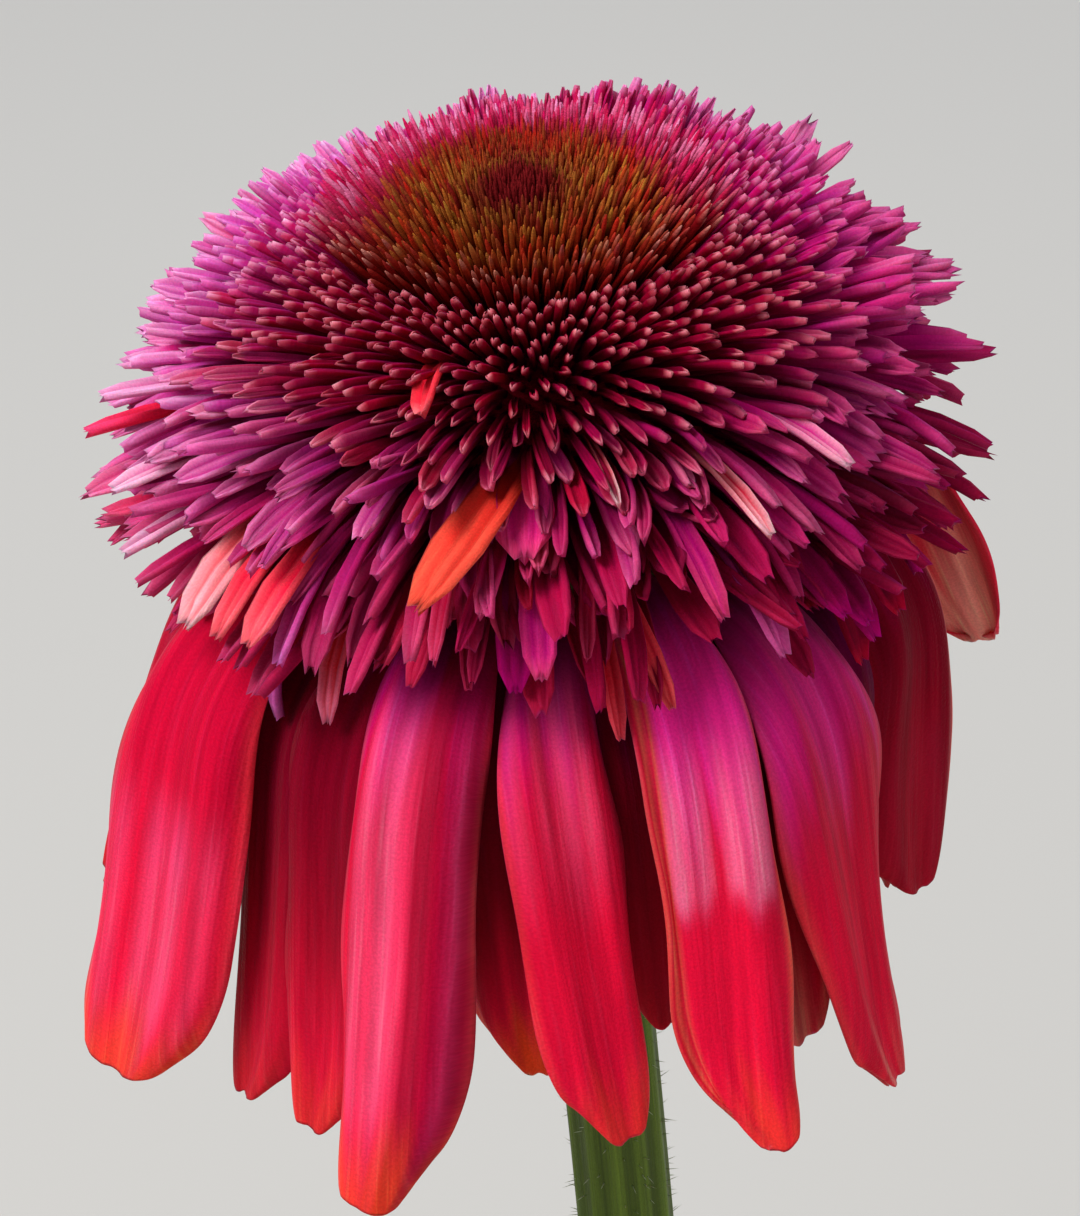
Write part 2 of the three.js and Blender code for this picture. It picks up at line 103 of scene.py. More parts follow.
# The same, from -0.5 to 0.5.
def offset(item, purpose):
    return draw(item, purpose) - 0.5


# Unit vectors along a heading, across it and out of its upper face. The roll turns the last two.
def directions(azimuth, slope, roll=0.0):
    a, s, r = np.broadcast_arrays(*[np.radians(np.asarray(v, float)) for v in (azimuth, slope, roll)])
    along = np.stack([np.sin(a) * np.cos(s), -np.cos(a) * np.cos(s), np.sin(s)], -1)
    level = np.stack([np.cos(a), np.sin(a), np.zeros_like(a)], -1)
    across = level * np.cos(r)[..., None] + np.cross(along, level) * np.sin(r)[..., None]
    return along, across, np.cross(along, across)


# Points a radius away from the axis, level with the origin.
def around(azimuth, radius):
    return directions(azimuth, 0)[0] * np.asarray(radius)[..., None]


# Walks many paths at once: the point after each step is the sum of the headings so far, times the
# step's length. Gives the points at the stations, with the three directions there.
def walk(start, length, stations, heading, steps=160):
    def facing(share):
        return directions(*np.broadcast_arrays(*heading(share), share[None])[:-1])

    run = np.cumsum(facing((np.arange(steps) + 0.5) / steps)[0], axis=1)
    run = run * (np.asarray(length, float) / steps).reshape(-1, 1, 1)
    path = np.asarray(start, float)[:, None] + np.concatenate([np.zeros_like(run[:, :1]), run], axis=1)
    place = np.asarray(stations) * steps
    lower = np.minimum(place.astype(int), steps - 1)
    points = mix(path[:, lower], path[:, lower + 1], (place - lower)[None, :, None])
    return points, facing(np.asarray(stations))


# A smooth wandering value for each point: the mean of waves in drawn directions.
def ripple(points, waveLength, seed, waves=7):
    total = np.zeros(points.shape[:-1])
    for k in range(waves):
        turn, rise = 2 * math.pi * draw(k, seed), 2 * draw(k, seed + 0.5) - 1
        flat = math.sqrt(1 - rise * rise)
        way = np.array([math.cos(turn) * flat, math.sin(turn) * flat, rise])
        stretch = mix(0.7, 1.5, draw(k, seed + 0.25)) * 2 * math.pi / waveLength
        total += np.sin(points @ way * stretch + 6.28 * draw(k, seed + 0.75))
    return total / waves


# Puts an object in the scene, and turns its -Z down the way it looks.
def addObject(name, data, place=Vector((0, 0, 0)), way=None):
    made = bpy.data.objects.new(name, data)
    made.location = place
    if way:
        made.rotation_euler = way.to_track_quat("-Z", "Y").to_euler()
    bpy.context.scene.collection.objects.link(made)
    return made


# The head's own frame: its origin is the middle of the widest ring of florets.
head = dict(place=(-3, -3, 352), tiltLeft=5, tiltForward=1)


# The head's turn: aside about Y, then forward about X.
def headMatrix():
    forward, left = math.radians(head["tiltForward"]), math.radians(-head["tiltLeft"])
    about = np.array([[1, 0, 0], [0, math.cos(forward), -math.sin(forward)],
                      [0, math.sin(forward), math.cos(forward)]])
    aside = np.array([[math.cos(left), 0, math.sin(left)], [0, 1, 0], [-math.sin(left), 0, math.cos(left)]])
    return about @ aside


def onHead(points):
    return points @ headMatrix().T + np.array(head["place"], float)


# Quads of wrapped grids, numbered by grid, row and column. The last column meets the first.
def gridQuads(grid):
    beside = np.roll(grid, -1, axis=2)
    return np.stack([grid[:, :-1], grid[:, 1:], beside[:, 1:], beside[:, :-1]], -1).reshape(-1, 4)


# Triangles that close each grid with a fan from its pole to its end ring.
def fanTriangles(ring, poles, farEnd):
    beside = np.roll(ring, -1, axis=1)
    pole = np.broadcast_to(poles[:, None], ring.shape)
    fan = [pole, beside, ring] if farEnd else [pole, ring, beside]
    return np.stack(fan, -1).reshape(-1, 3)


def opaque(colour):
    colour = np.asarray(colour, float)
    return np.concatenate([colour, np.ones(colour.shape[:-1] + (1,))], -1)


# One skin of a piece: wrapped grids by count, rows and columns, with their colour and grain.
def skin(points, colour, grain=(0, 0, 0), **poles):
    return {"points": points, "tone": opaque(colour), "grain": grain, **poles}


# Joins skins into one mesh. A pole closes each end of a grid, in the middle of its end ring unless the
# skin gives its tips.
def addPiece(name, skins, material, nodes):
    sizes = {"points": 3, "tone": 4, "grain": 3}
    layers = {layer: [] for layer in sizes}
    quads, fans, base = [], [], 0
    for part in skins:
        shape = part["points"].shape[:3]
        count, whole = shape[0], math.prod(shape)
        for layer, size in sizes.items():
            values = np.broadcast_to(part[layer], shape + (size,))
            tips = values[:, -1].mean(1)
            if layer == "points":
                tips = part.get("tips", tips)
            layers[layer] += [values.reshape(-1, size), values[:, 0].mean(1), tips]
        grid = base + np.arange(whole).reshape(shape)
        poles = base + whole + np.arange(count)
        quads.append(gridQuads(grid))
        fans += [fanTriangles(grid[:, 0], poles, False), fanTriangles(grid[:, -1], poles + count, True)]
        base += whole + 2 * count
    points, quads, fans = [np.concatenate(rows) for rows in (layers["points"], quads, fans)]
    mesh = bpy.data.meshes.new(name)
    mesh.vertices.add(len(points))
    mesh.vertices.foreach_set("co", (points * mm).astype(np.float32).ravel())
    mesh.loops.add(quads.size + fans.size)
    mesh.loops.foreach_set("vertex_index", np.concatenate([quads.ravel(), fans.ravel()]).astype(np.int32))
    starts = np.concatenate([np.arange(len(quads)) * 4, quads.size + np.arange(len(fans)) * 3])
    mesh.polygons.add(len(starts))
    mesh.polygons.foreach_set("loop_start", starts.astype(np.int32))
    mesh.update(calc_edges=True)
    for layer, kind, field in (("tone", "FLOAT_COLOR", "color"), ("grain", "FLOAT_VECTOR", "vector")):
        values = np.concatenate(layers[layer]).astype(np.float32)
        mesh.attributes.new(layer, kind, "POINT").data.foreach_set(field, values.ravel())
    mesh.polygons.foreach_set("use_smooth", np.ones(len(starts), bool))
    mesh.materials.append(material)
    piece = addObject(name, mesh)
    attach(piece, "root")
    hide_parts(*nodes)
    return piece


# Closed blades along a path: the section runs across the upper face and back across the lower one.
def blades(frames, x, y, z=0.0):
    points, (along, across, out) = frames
    place = points[:, :, None] + across[:, :, None] * x[..., None] + out[:, :, None] * y[..., None]
    return place + along[:, :, None] * np.asarray(z)[..., None]


def ringTurn(sides):
    return math.pi - 2 * math.pi * np.arange(sides) / sides


# Closed round tubes along a path, from the half width at each station.
def tubes(frames, half, sides, halfDepth=None):
    turn = ringTurn(sides)
    tall = half if halfDepth is None else halfDepth
    return blades(frames, half[..., None] * np.cos(turn), tall[..., None] * np.sin(turn))


# The round way from a profile of radius and height, turned about Z, as one wrapped grid.
def turned(profile, sides):
    turn = -2 * math.pi * np.arange(sides) / sides
    radius, height = profile[:, :1], profile[:, 1:]
    x, y = radius * np.cos(turn), radius * np.sin(turn)
    return np.stack([x, y, np.broadcast_to(height, x.shape)], -1)[None]


# Rounds each inner corner of an open outline: points on the curve between two cuts, a reach from it.
def roundedProfile(corners, reach, steps):
    points = np.array(corners, float)
    before, here, after = points[:-2], points[1:-1], points[2:]
    share = np.linspace(0, 1, steps)[None, :, None]
    cut = np.minimum(*[np.linalg.norm(p - here, axis=1) for p in (before, after)])
    cut = np.minimum(reach, 0.45 * cut)[:, None]
    toBefore, toAfter = here + unit(before - here) * cut, here + unit(after - here) * cut
    first, last = mix(toBefore[:, None], here[:, None], share), mix(here[:, None], toAfter[:, None], share)
    return np.concatenate([points[:1], mix(first, last, share).reshape(-1, 2), points[-1:]])


# Points at even steps along an outline, so that a turned piece has even rows.
def evened(profile, spacing):
    lengths = np.concatenate([[0], np.cumsum(np.linalg.norm(np.diff(profile, axis=0), axis=1))])
    extra = np.arange(0, lengths[-1], spacing)
    places = np.unique(np.round(np.concatenate([lengths, extra]), 3))
    return np.stack([np.interp(places, lengths, profile[:, k]) for k in range(2)], -1)


# Blends colours by a share at each point.
def tint(low, high, share):
    return mix(np.asarray(low, float), np.asarray(high, float), np.asarray(share)[..., None])


# Lays coats over a colour, each given as its own colour and a share at each point.
def coated(colour, *coats):
    for over, share in coats:
        colour = tint(colour, over, share)
    return colour


# Three values for each point of a skin, spread over it where they are given for a row or a column.
def spread(*values):
    return np.stack(np.broadcast_arrays(*values), -1)


# The camera stands where the photograph's did: 30 degrees above the head's ring, straight in front.
view = dict(elevation=30, distance=340, lens=142, sensor=36, near=0.01, below=12.6, left=0.35)


def makeCamera():
    lift = math.radians(view["elevation"])
    toCamera = Vector((0, -math.cos(lift), math.sin(lift)))
    up = Vector((0, math.sin(lift), math.cos(lift)))
    target = Vector(head["place"]) - up * view["below"] - Vector((view["left"], 0, 0))
    data = bpy.data.cameras.new("camera")
    data.lens = view["lens"]
    data.sensor_width = view["sensor"]
    data.clip_start = view["near"]
    place = (target + toCamera * view["distance"]) * mm
    bpy.context.scene.camera = addObject("camera", data, place, -toCamera)


makeCamera()
print("camera set")


# Joins an input to another node's output, or gives it a value.
def feed(tree, socket, value):
    if isinstance(value, bpy.types.NodeSocket):
        tree.links.new(value, socket)
    else:
        socket.default_value = value


def addNode(tree, kind, inputs, **settings):
    made = tree.nodes.new("ShaderNode" + kind)
    for key, value in settings.items():
        setattr(made, key, value)
    for key, value in inputs.items():
        feed(tree, made.inputs[key], value)
    return made


def attribute(tree, name, output):
    return addNode(tree, "Attribute", {}, attribute_name=name).outputs[output]


def objectPlace(tree):
    return addNode(tree, "TexCoord", {}).outputs["Object"]


def newMaterial(name, shine):
    material = bpy.data.materials.new(name)
    material.use_nodes = True
    tree = material.node_tree
    shader = tree.nodes["Principled BSDF"]
    for key, value in shine.items():
        shader.inputs[key].default_value = value
    return material, tree, shader


def noise(tree, vector, scale, detail=3.0, roughness=0.55):
    inputs = {"Vector": vector, "Scale": scale, "Detail": detail, "Roughness": roughness}
    return addNode(tree, "TexNoise", inputs).outputs["Fac"]


# Takes a value's range, which for a noise is most of what it reaches, to another range.
def ranged(tree, value, to, span=(0.3, 0.7)):
    inputs = {"Value": value, "From Min": span[0], "From Max": span[1], "To Min": to[0], "To Max": to[1]}
    return addNode(tree, "MapRange", inputs, interpolation_type="SMOOTHSTEP").outputs["Result"]


# A colour mix has its two colours at inputs 6 and 7 and its result at output 2.
def blended(tree, share, low, high):
    made = addNode(tree, "Mix", {"Factor": share}, data_type="RGBA")
    for socket, value in ((made.inputs[6], low), (made.inputs[7], high)):
        feed(tree, socket, (*value, 1) if isinstance(value, tuple) else value)
    return made.outputs[2]


def scaledColour(tree, colour, factor):
    return addNode(tree, "VectorMath", {0: colour, "Scale": factor}, operation="SCALE").outputs[0]


def stretched(tree, vector, stretch):
    return addNode(tree, "VectorMath", {0: vector, 1: stretch}, operation="MULTIPLY").outputs[0]


def bumped(tree, shader, heights, distance):
    inputs = {"Height": heights, "Distance": distance, "Strength": 1.0}
    if shader.inputs["Normal"].links:
        inputs["Normal"] = shader.inputs["Normal"].links[0].from_socket
    tree.links.new(addNode(tree, "Bump", inputs).outputs["Normal"], shader.inputs["Normal"])


def painted(tree, shader, colour, roughness):
    tree.links.new(colour, shader.inputs["Base Color"])
    tree.links.new(roughness, shader.inputs["Roughness"])


# Petal tissue: the tone painted on the piece, with paler streaks along the grain and a satin skin.
# The grain holds the millimetres across, the millimetres along and the item.
tissue = dict(paleSpan=(0.5, 0.72), dotSpan=(0.35, 0.65), dotDepth=(0.92, 1.05), dotRelief=0.4)


def tissueMaterial(name, streak, shine):
    material, tree, shader = newMaterial(name, shine)
    tone, grain = attribute(tree, "tone", "Color"), attribute(tree, "grain", "Vector")
    broad = noise(tree, stretched(tree, grain, streak["broad"]), 1.0)
    fine = noise(tree, stretched(tree, grain, streak["fine"]), 1.0, 2.0)
    dots = noise(tree, grain, streak["dots"], 1.0)
    colour = scaledColour(tree, tone, ranged(tree, broad, streak["depth"]))
    pale = ranged(tree, fine, (0.0, streak["pale"]), tissue["paleSpan"])
    colour = blended(tree, pale, colour, stretched(tree, colour, streak["paler"]))
    colour = scaledColour(tree, colour, ranged(tree, dots, tissue["dotDepth"], tissue["dotSpan"]))
    painted(tree, shader, colour, ranged(tree, fine, streak["skin"]))
    bumped(tree, shader, fine, streak["relief"])
    bumped(tree, shader, dots, streak["relief"] * tissue["dotRelief"])
    return material


petalShine = {"Specular IOR Level": 0.015, "Specular Tint": (1.0, 0.2, 0.4, 1), "Sheen Weight": 0.01,
              "Sheen Roughness": 0.4, "Sheen Tint": (1.0, 0.25, 0.6, 1), "Subsurface Weight": 0.25,
              "Subsurface Scale": 0.0012, "Subsurface Radius": (1.0, 0.12, 0.25)}
petalStreak = dict(broad=(0.85, 0.05, 11.0), fine=(2.4, 0.07, 17.0), dots=5.0, skin=(0.32, 0.48),
                   relief=0.00012, depth=(0.78, 1.14), pale=0.34, paler=(1.1, 3.5, 2.0))
petalLook = tissueMaterial("petalSatin", petalStreak, petalShine)
floretStreak = dict(broad=(1.3, 0.1, 11.0), fine=(3.2, 0.16, 17.0), dots=6.0, skin=(0.36, 0.55),
                    relief=0.0001, depth=(0.74, 1.18), pale=0.28, paler=(1.3, 2.4, 2.0))
floretLook = tissueMaterial("floretSatin", floretStreak, petalShine)
coneShine = {"Specular IOR Level": 0.02, "Specular Tint": (1.0, 0.5, 0.4, 1)}
coneStreak = dict(broad=(1.5, 0.5, 13.0), fine=(4.0, 1.0, 17.0), dots=8.0, skin=(0.45, 0.65),
                  relief=0.00006, depth=(0.75, 1.15), pale=0.4, paler=(1.3, 2.0, 1.6))
coneLook = tissueMaterial("coneBristle", coneStreak, coneShine)
greenShine = {"Specular IOR Level": 0.22, "Subsurface Weight": 0.05, "Subsurface Scale": 0.001}
stemStreak = dict(broad=(1.1, 0.03, 5.0), fine=(3.5, 0.12, 9.0), dots=4.0, skin=(0.45, 0.65),
                  relief=0.0001, depth=(0.72, 1.18), pale=0.5, paler=(1.6, 1.5, 1.8))
stemLook = tissueMaterial("stemSkin", stemStreak, greenShine)

# Leaf skin: the painted tone with its veins, a net of fine cells between them and a rough nap.
leafSkin = dict(cells=0.55, cellEdge=(0.0, 0.16), cellLine=(0.17, 0.27, 0.07), lineShare=(0.3, 0.0),
                patches=0.12, patchDepth=(0.82, 1.18), nap=3.0, skin=(0.45, 0.68), cellRelief=0.00022,
                napRelief=0.0001)


def leafMaterial():
    material, tree, shader = newMaterial("leafSkin", greenShine)
    tone, grain = attribute(tree, "tone", "Color"), attribute(tree, "grain", "Vector")
    inputs = {"Vector": grain, "Scale": leafSkin["cells"]}
    net = addNode(tree, "TexVoronoi", inputs, feature="DISTANCE_TO_EDGE").outputs["Distance"]
    netLine = ranged(tree, net, (0.0, 1.0), leafSkin["cellEdge"])
    patch = noise(tree, grain, leafSkin["patches"])
    nap = noise(tree, grain, leafSkin["nap"], 2.0)
    colour = scaledColour(tree, tone, ranged(tree, patch, leafSkin["patchDepth"]))
    lineShare = ranged(tree, netLine, leafSkin["lineShare"], (0.0, 1.0))
    colour = blended(tree, lineShare, colour, leafSkin["cellLine"])
    painted(tree, shader, colour, ranged(tree, nap, leafSkin["skin"]))
    bumped(tree, shader, netLine, leafSkin["cellRelief"])
    bumped(tree, shader, nap, leafSkin["napRelief"])
    return material


leafLook = leafMaterial()

# Unglazed clay: warm grains, paler bloom of salts in patches, and a damp darker foot.
clay = dict(clouds=28, cloudDark=(0.4, 0.15, 0.072), cloudLight=(0.53, 0.225, 0.115), salts=42,
            saltStretch=(1.0, 1.0, 0.6), saltSpan=(0.54, 0.72), saltShare=(0.0, 0.55),
            salt=(0.62, 0.42, 0.31), sand=1500, sandDepth=(0.86, 1.1), dampTop=(0.0, 0.045),
            dampDepth=(0.68, 1.0), skin=(0.72, 0.92), skinSpan=(0.4, 0.7), sandRelief=0.00018,
            cloudRelief=0.0008)


def clayMaterial():
    material, tree, shader = newMaterial("terracotta", {"Specular IOR Level": 0.25})
    place = objectPlace(tree)
    cloud = noise(tree, place, clay["clouds"], 5.0, 0.6)
    bloom = noise(tree, stretched(tree, place, clay["saltStretch"]), clay["salts"], 6.0, 0.65)
    sand = noise(tree, place, clay["sand"], 2.0)
    colour = blended(tree, ranged(tree, cloud, (0.0, 1.0)), clay["cloudDark"], clay["cloudLight"])
    saltShare = ranged(tree, bloom, clay["saltShare"], clay["saltSpan"])
    colour = blended(tree, saltShare, colour, clay["salt"])
    height = addNode(tree, "SeparateXYZ", {"Vector": place}).outputs["Z"]
    colour = scaledColour(tree, colour, ranged(tree, height, clay["dampDepth"], clay["dampTop"]))
    colour = scaledColour(tree, colour, ranged(tree, sand, clay["sandDepth"]))
    painted(tree, shader, colour, ranged(tree, bloom, clay["skin"], clay["skinSpan"]))
    bumped(tree, shader, sand, clay["sandRelief"])
    bumped(tree, shader, cloud, clay["cloudRelief"])
    return material


# Crumbs, chips and grit, by the painted tone with a fibrous grain.
def soilMaterial():
    material, tree, shader = newMaterial("pottingMix", {"Specular IOR Level": 0.2})
    place, tone = objectPlace(tree), attribute(tree, "tone", "Color")
    grit = noise(tree, place, 1100, 4.0, 0.65)
    colour = scaledColour(tree, tone, ranged(tree, grit, (0.55, 1.45)))
    painted(tree, shader, colour, ranged(tree, grit, (0.7, 0.95)))
    bumped(tree, shader, grit, 0.0006)
    return material


clayLook, soilLook = clayMaterial(), soilMaterial()
print("materials made")

# The pot: a thrown wall under a rim band, with three drain holes, sized by the frame's own pot.
pot = dict(baseRadius=47, neckRadius=62, rimRadius=70, rimHeight=28, bandTaper=1.6, lip=8, wall=6.5,
           floor=8, middle=4, edge=2, edgeSteps=7, sides=144, rowSpacing=1.6, throwing=0.07, fade=4,
           drains=3, drainRadius=5, drainCircle=24, drainSides=32)
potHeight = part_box("pot")[1].z / mm
rimFoot = potHeight - pot["rimHeight"]


# The inner wall's radius: the outer one grows evenly from the base to the rim band, less the thickness.
def innerRadius(z):
    return mix(pot["baseRadius"], pot["neckRadius"], z / rimFoot) - pot["wall"]


def makePot():
    rim, floor = pot["rimRadius"], pot["floor"]
    corners = [(pot["middle"], 0), (pot["baseRadius"], 0), (pot["neckRadius"], rimFoot),
               (rim - pot["bandTaper"], rimFoot), (rim, potHeight - pot["lip"]), (rim, potHeight),
               (innerRadius(potHeight), potHeight), (innerRadius(floor), floor), (pot["middle"], floor)]
    profile = evened(roundedProfile(corners, pot["edge"], pot["edgeSteps"]), pot["rowSpacing"])
    points = turned(profile, pot["sides"])
    z = points[..., 2]
    wave = np.sin(z * 2.1) + 0.6 * np.sin(z * 0.83 + 1) + 2 * ripple(points, 60, 3)
    wave = pot["throwing"] * wave * smooth(z / pot["fade"])
    points = points + unit(points * flatten) * wave[..., None]
    drillDrains(addPiece("clay_pot", [skin(points, (1, 1, 1))], clayLook, ["pot"]))


# Takes the round drain holes out of the pot's floor.
def drillDrains(piece):
    count = pot["drains"]
    turn = np.arange(count) * 360.0 / count
    start = around(90 + turn, pot["drainCircle"]) + np.array([0, 0, -pot["floor"]])
    frames = walk(start, np.full(count, 3.0 * pot["floor"]), [0, 1], lambda share: (turn[:, None], 90))
    points = tubes(frames, np.full((count, 2), float(pot["drainRadius"])), pot["drainSides"])
    drill = addPiece("drill", [skin(points, (1, 1, 1))], clayLook, [])
    cut = piece.modifiers.new("drains", "BOOLEAN")
    cut.object = drill
    cut.solver = "EXACT"
    shaped = piece.evaluated_get(bpy.context.evaluated_depsgraph_get())
    drilled = bpy.data.meshes.new_from_object(shaped)
    piece.modifiers.clear()
    piece.data = drilled
    bpy.data.objects.remove(drill)


makePot()
print("pot made")

# The potting mix: a low mound inside the wall. The loose bits on it are crumbs, bark chips and white grit:
# count, seed, length, width, depth, and the darkest and lightest colour.
soil = dict(depthBelowRim=13, mound=4, lumps=0.9, gap=0.35, rings=84, sides=200, edge=4, middle=3,
            rimWidth=5, rimDrop=0.5, dark=(0.018, 0.011, 0.007), light=(0.055, 0.034, 0.021))
looseKinds = [
    (420, 31, 3.0, 2.6, 2.0, (0.02, 0.013, 0.008), (0.06, 0.038, 0.024)),
    (520, 41, 7.5, 3.0, 1.3, (0.045, 0.022, 0.011), (0.17, 0.088, 0.043)),
    (90, 51, 2.3, 2.2, 2.0, (0.5, 0.47, 0.41), (0.72, 0.7, 0.64)),
]
bit = dict(inset=2.5, sides=6, slope=34, roll=50, jitter=0.35)
soilTop = potHeight - soil["depthBelowRim"]


# Height of the mound: a shallow bowl upside down, with lumps of three sizes.
def soilHeight(x, y):
    out = np.hypot(x, y) / pot["neckRadius"]
    flat = np.stack([x, y, 0 * x], -1)
    lumps = 0.8 * ripple(flat, 16, 1) + 0.9 * ripple(flat, 6.5, 2, 9)
    lumps = lumps + 0.55 * np.abs(ripple(flat, 2.6, 4, 9))
    return soilTop + soil["mound"] * (1 - out ** 2) + soil["lumps"] * lumps


# Loose bits on the mound: short rings with drawn sizes and turns, sunk a little into it.
def looseBits(count, seed, length, width, depth, dark, light):
    item = np.arange(count)
    radius = (innerRadius(soilTop) - bit["inset"]) * np.sqrt(draw(item, seed))
    turn = 2 * math.pi * draw(item, seed + 0.1)
    x, y = radius * np.cos(turn), radius * np.sin(turn)
    size = mix(0.5, 1.25, draw(item, seed + 0.2))
    lift = soilHeight(x, y) + depth * size * mix(0.05, 0.4, draw(item, seed + 0.3))
    azimuth, slope = 360 * draw(item, seed + 0.4), bit["slope"] * offset(item, seed + 0.5)
    roll = bit["roll"] * offset(item, seed + 0.6)
    frames = walk(np.stack([x, y, lift], -1), length * size, [0, 0.3, 0.7, 1], lambda share: (
        azimuth[:, None], slope[:, None], roll[:, None]))
    half = size[:, None] * np.array([0.32, 0.5, 0.46, 0.22])
    rough = mix(0.75, 1.25, draw(item[:, None] * 4 + np.arange(4), seed + 0.7))
    points = tubes(frames, half * width * rough, bit["sides"], half * depth)
    corner = np.arange(points[..., 0].size)
    jitter = np.stack([offset(corner, seed + k).reshape(points.shape[:-1]) for k in (1.1, 1.2, 1.3)], -1)
    points = points + jitter * (bit["jitter"] * depth * size)[:, None, None, None]
    return skin(points, tint(dark, light, draw(item, seed + 0.8))[:, None, None])


def makeSoil():
    edge, foot = innerRadius(soilTop) - soil["gap"], innerRadius(pot["floor"]) - soil["gap"]
    low = pot["floor"] + soil["gap"]
    radii = np.linspace(edge / soil["rings"], edge, soil["rings"])
    under = np.array([[edge, soilTop - soil["edge"]], [foot, low], [soil["middle"], low]])
    profile = np.concatenate([np.stack([radii, np.full_like(radii, soilTop)], -1), under])[::-1]
    points = turned(profile, soil["sides"])
    top = points[0, len(under):]
    x, y = top[..., 0], top[..., 1]
    heights = soilHeight(x, y)
    rim = smooth((np.hypot(x, y) - edge + soil["rimWidth"]) / soil["rimWidth"])
    top[..., 2] = mix(heights, soilTop - soil["rimDrop"] + 0.4 * (heights - soilTop), rim)
    damp = clamp(0.5 + 1.4 * ripple(points * flatten, 9, 8) + 0.8 * ripple(points * flatten, 3, 9))
    ground = skin(points, tint(soil["dark"], soil["light"], damp))
    bits = [looseBits(*kind) for kind in looseKinds]
    addPiece("potting_mix", [ground, *bits], soilLook, ["soil"])


makeSoil()
print("soil made")

# The stem: ribbed and hairy, from the crown in the soil to the underside of the head.
stem = dict(radius=3.7, footRadius=4, bulge=14, footRun=100, headRun=70, headGap=0.35, rootDepth=14,
            ribs=11, ribDepth=0.03, flare=0.12, flareFrom=0.965, sides=88, rows=130,
            groove=(0.055, 0.108, 0.007), ridge=(0.115, 0.2, 0.016), flush=(0.15, 0.05, 0.03))
hair = dict(count=1500, span=(0.07, 0.985), half=0.045, taper=0.6, length=(0.45, 1.15), waist=0.55,
            sink=0.1, colour=(0.55, 0.62, 0.42))
receptacle = dict(radius=11, top=-3.15, side=-8.6, foot=-13, hole=0.6, neck=3.75, flare=6.0, flareRise=1.6,
                  shoulder=0.6, edge=1.2, edgeSteps=6, rowSpacing=0.8, lumps=0.12, sides=72,
                  green=(0.13, 0.2, 0.05))
stemFoot = np.array([0, 0, soilTop - stem["rootDepth"]], float)
headAxis = headMatrix()[:, 2]
stemEnd = np.array(head["place"]) + headAxis * (receptacle["foot"] - stem["headGap"])


# Cubic Bezier through the foot, two pulls and the end, with its tangent.
def stemPath(share):
    t = np.asarray(share, float)[..., None]
    a, b = stemFoot, stemFoot + [stem["bulge"], 0, stem["footRun"]]
    c, d = stemEnd - headAxis * stem["headRun"], stemEnd
    point = a * (1 - t) ** 3 + b * 3 * t * (1 - t) ** 2 + c * 3 * t ** 2 * (1 - t) + d * t ** 3
    slope = (b - a) * 3 * (1 - t) ** 2 + (c - b) * 6 * t * (1 - t) + (d - c) * 3 * t ** 2
    return point, unit(slope)


def stemFrames(share):
    point, along = stemPath(share)
    across = unit(np.cross([0, 1, 0], along))
    return point[None], (along[None], across[None], np.cross(along, across)[None])


# The stem's radius, which goes from the foot's to its own by half way up.
def stemRadius(share):
    return mix(stem["footRadius"], stem["radius"], smooth(share * 2))[:, None]


# Fine hairs: short three-sided cones from their roots, in their headings, sunk a little into the skin.
def hairs(roots, along, length):
    helper = np.where(np.abs(along[:, 2:]) > 0.8, [[1, 0, 0]], [[0, 0, 1]])
    across = unit(np.cross(helper, along))
    points = np.stack([roots - hair["sink"] * along, roots + along * (hair["waist"] * length)[:, None]], 1)
    frames = points, [v[:, None] for v in (along, across, np.cross(along, across))]
    half = np.array([[hair["half"], hair["half"] * hair["taper"]]])
    return skin(tubes(frames, half, 3), hair["colour"], tips=roots + along * length[:, None])


def makeStem():
    share = np.linspace(0, 1, stem["rows"])
    turn = ringTurn(stem["sides"])
    rib = np.cos(stem["ribs"] * turn + 1.5 * np.sin(share * 5)[:, None]) + 0.4 * np.cos(5 * turn + 2)
    size = stemRadius(share)
    flare = ramp(share, stem["flareFrom"], 1 - stem["flareFrom"])[:, None]
    radius = size * (1 + stem["ribDepth"] * rib) * (1 + stem["flare"] * flare)
    points = blades(stemFrames(share), (radius * np.cos(turn))[None], (radius * np.sin(turn))[None])
    flush = clamp(0.5 + 1.5 * ripple(points[0], 40, 12)) * 0.12
    colour = coated(stem["ridge"], (stem["groove"], clamp(0.5 - 0.5 * rib) ** 1.5), (stem["flush"], flush))
    grain = spread(np.cos(turn) * size * 3, share[:, None] * 250, np.sin(turn) * 1.3)
    item = np.arange(hair["count"])
    place = mix(*hair["span"], draw(item, 61))
    centre, (along, across, out) = stemFrames(place)
    angle = 2 * math.pi * draw(item, 62)[:, None]
    way = (across * np.cos(angle) + out * np.sin(angle))[0]
    roots = centre[0] + way * stemRadius(place)
    lean = unit(way + along[0] * (draw(item, 63) - 0.35)[:, None])
    nap = hairs(roots, lean, mix(*hair["length"], draw(item, 64)))
    addPiece("flower_stem", [skin(points, colour, grain), nap], stemLook, ["stem"])


makeStem()
print("stem made")

# Leaves from the crown: azimuth, stalk, blade, width, lean at the root, lean at the tip and roll.
crownLeaves = [
    (-64, 62, 112, 44, 68, -42, 8), (-14, 40, 92, 36, 60, -48, -6), (38, 58, 108, 42, 66, -38, -8),
    (88, 46, 100, 40, 62, -50, 10), (137, 66, 116, 45, 70, -36, -4), (188, 48, 98, 38, 61, -48, 7),
    (242, 60, 110, 43, 67, -40, -9),
]
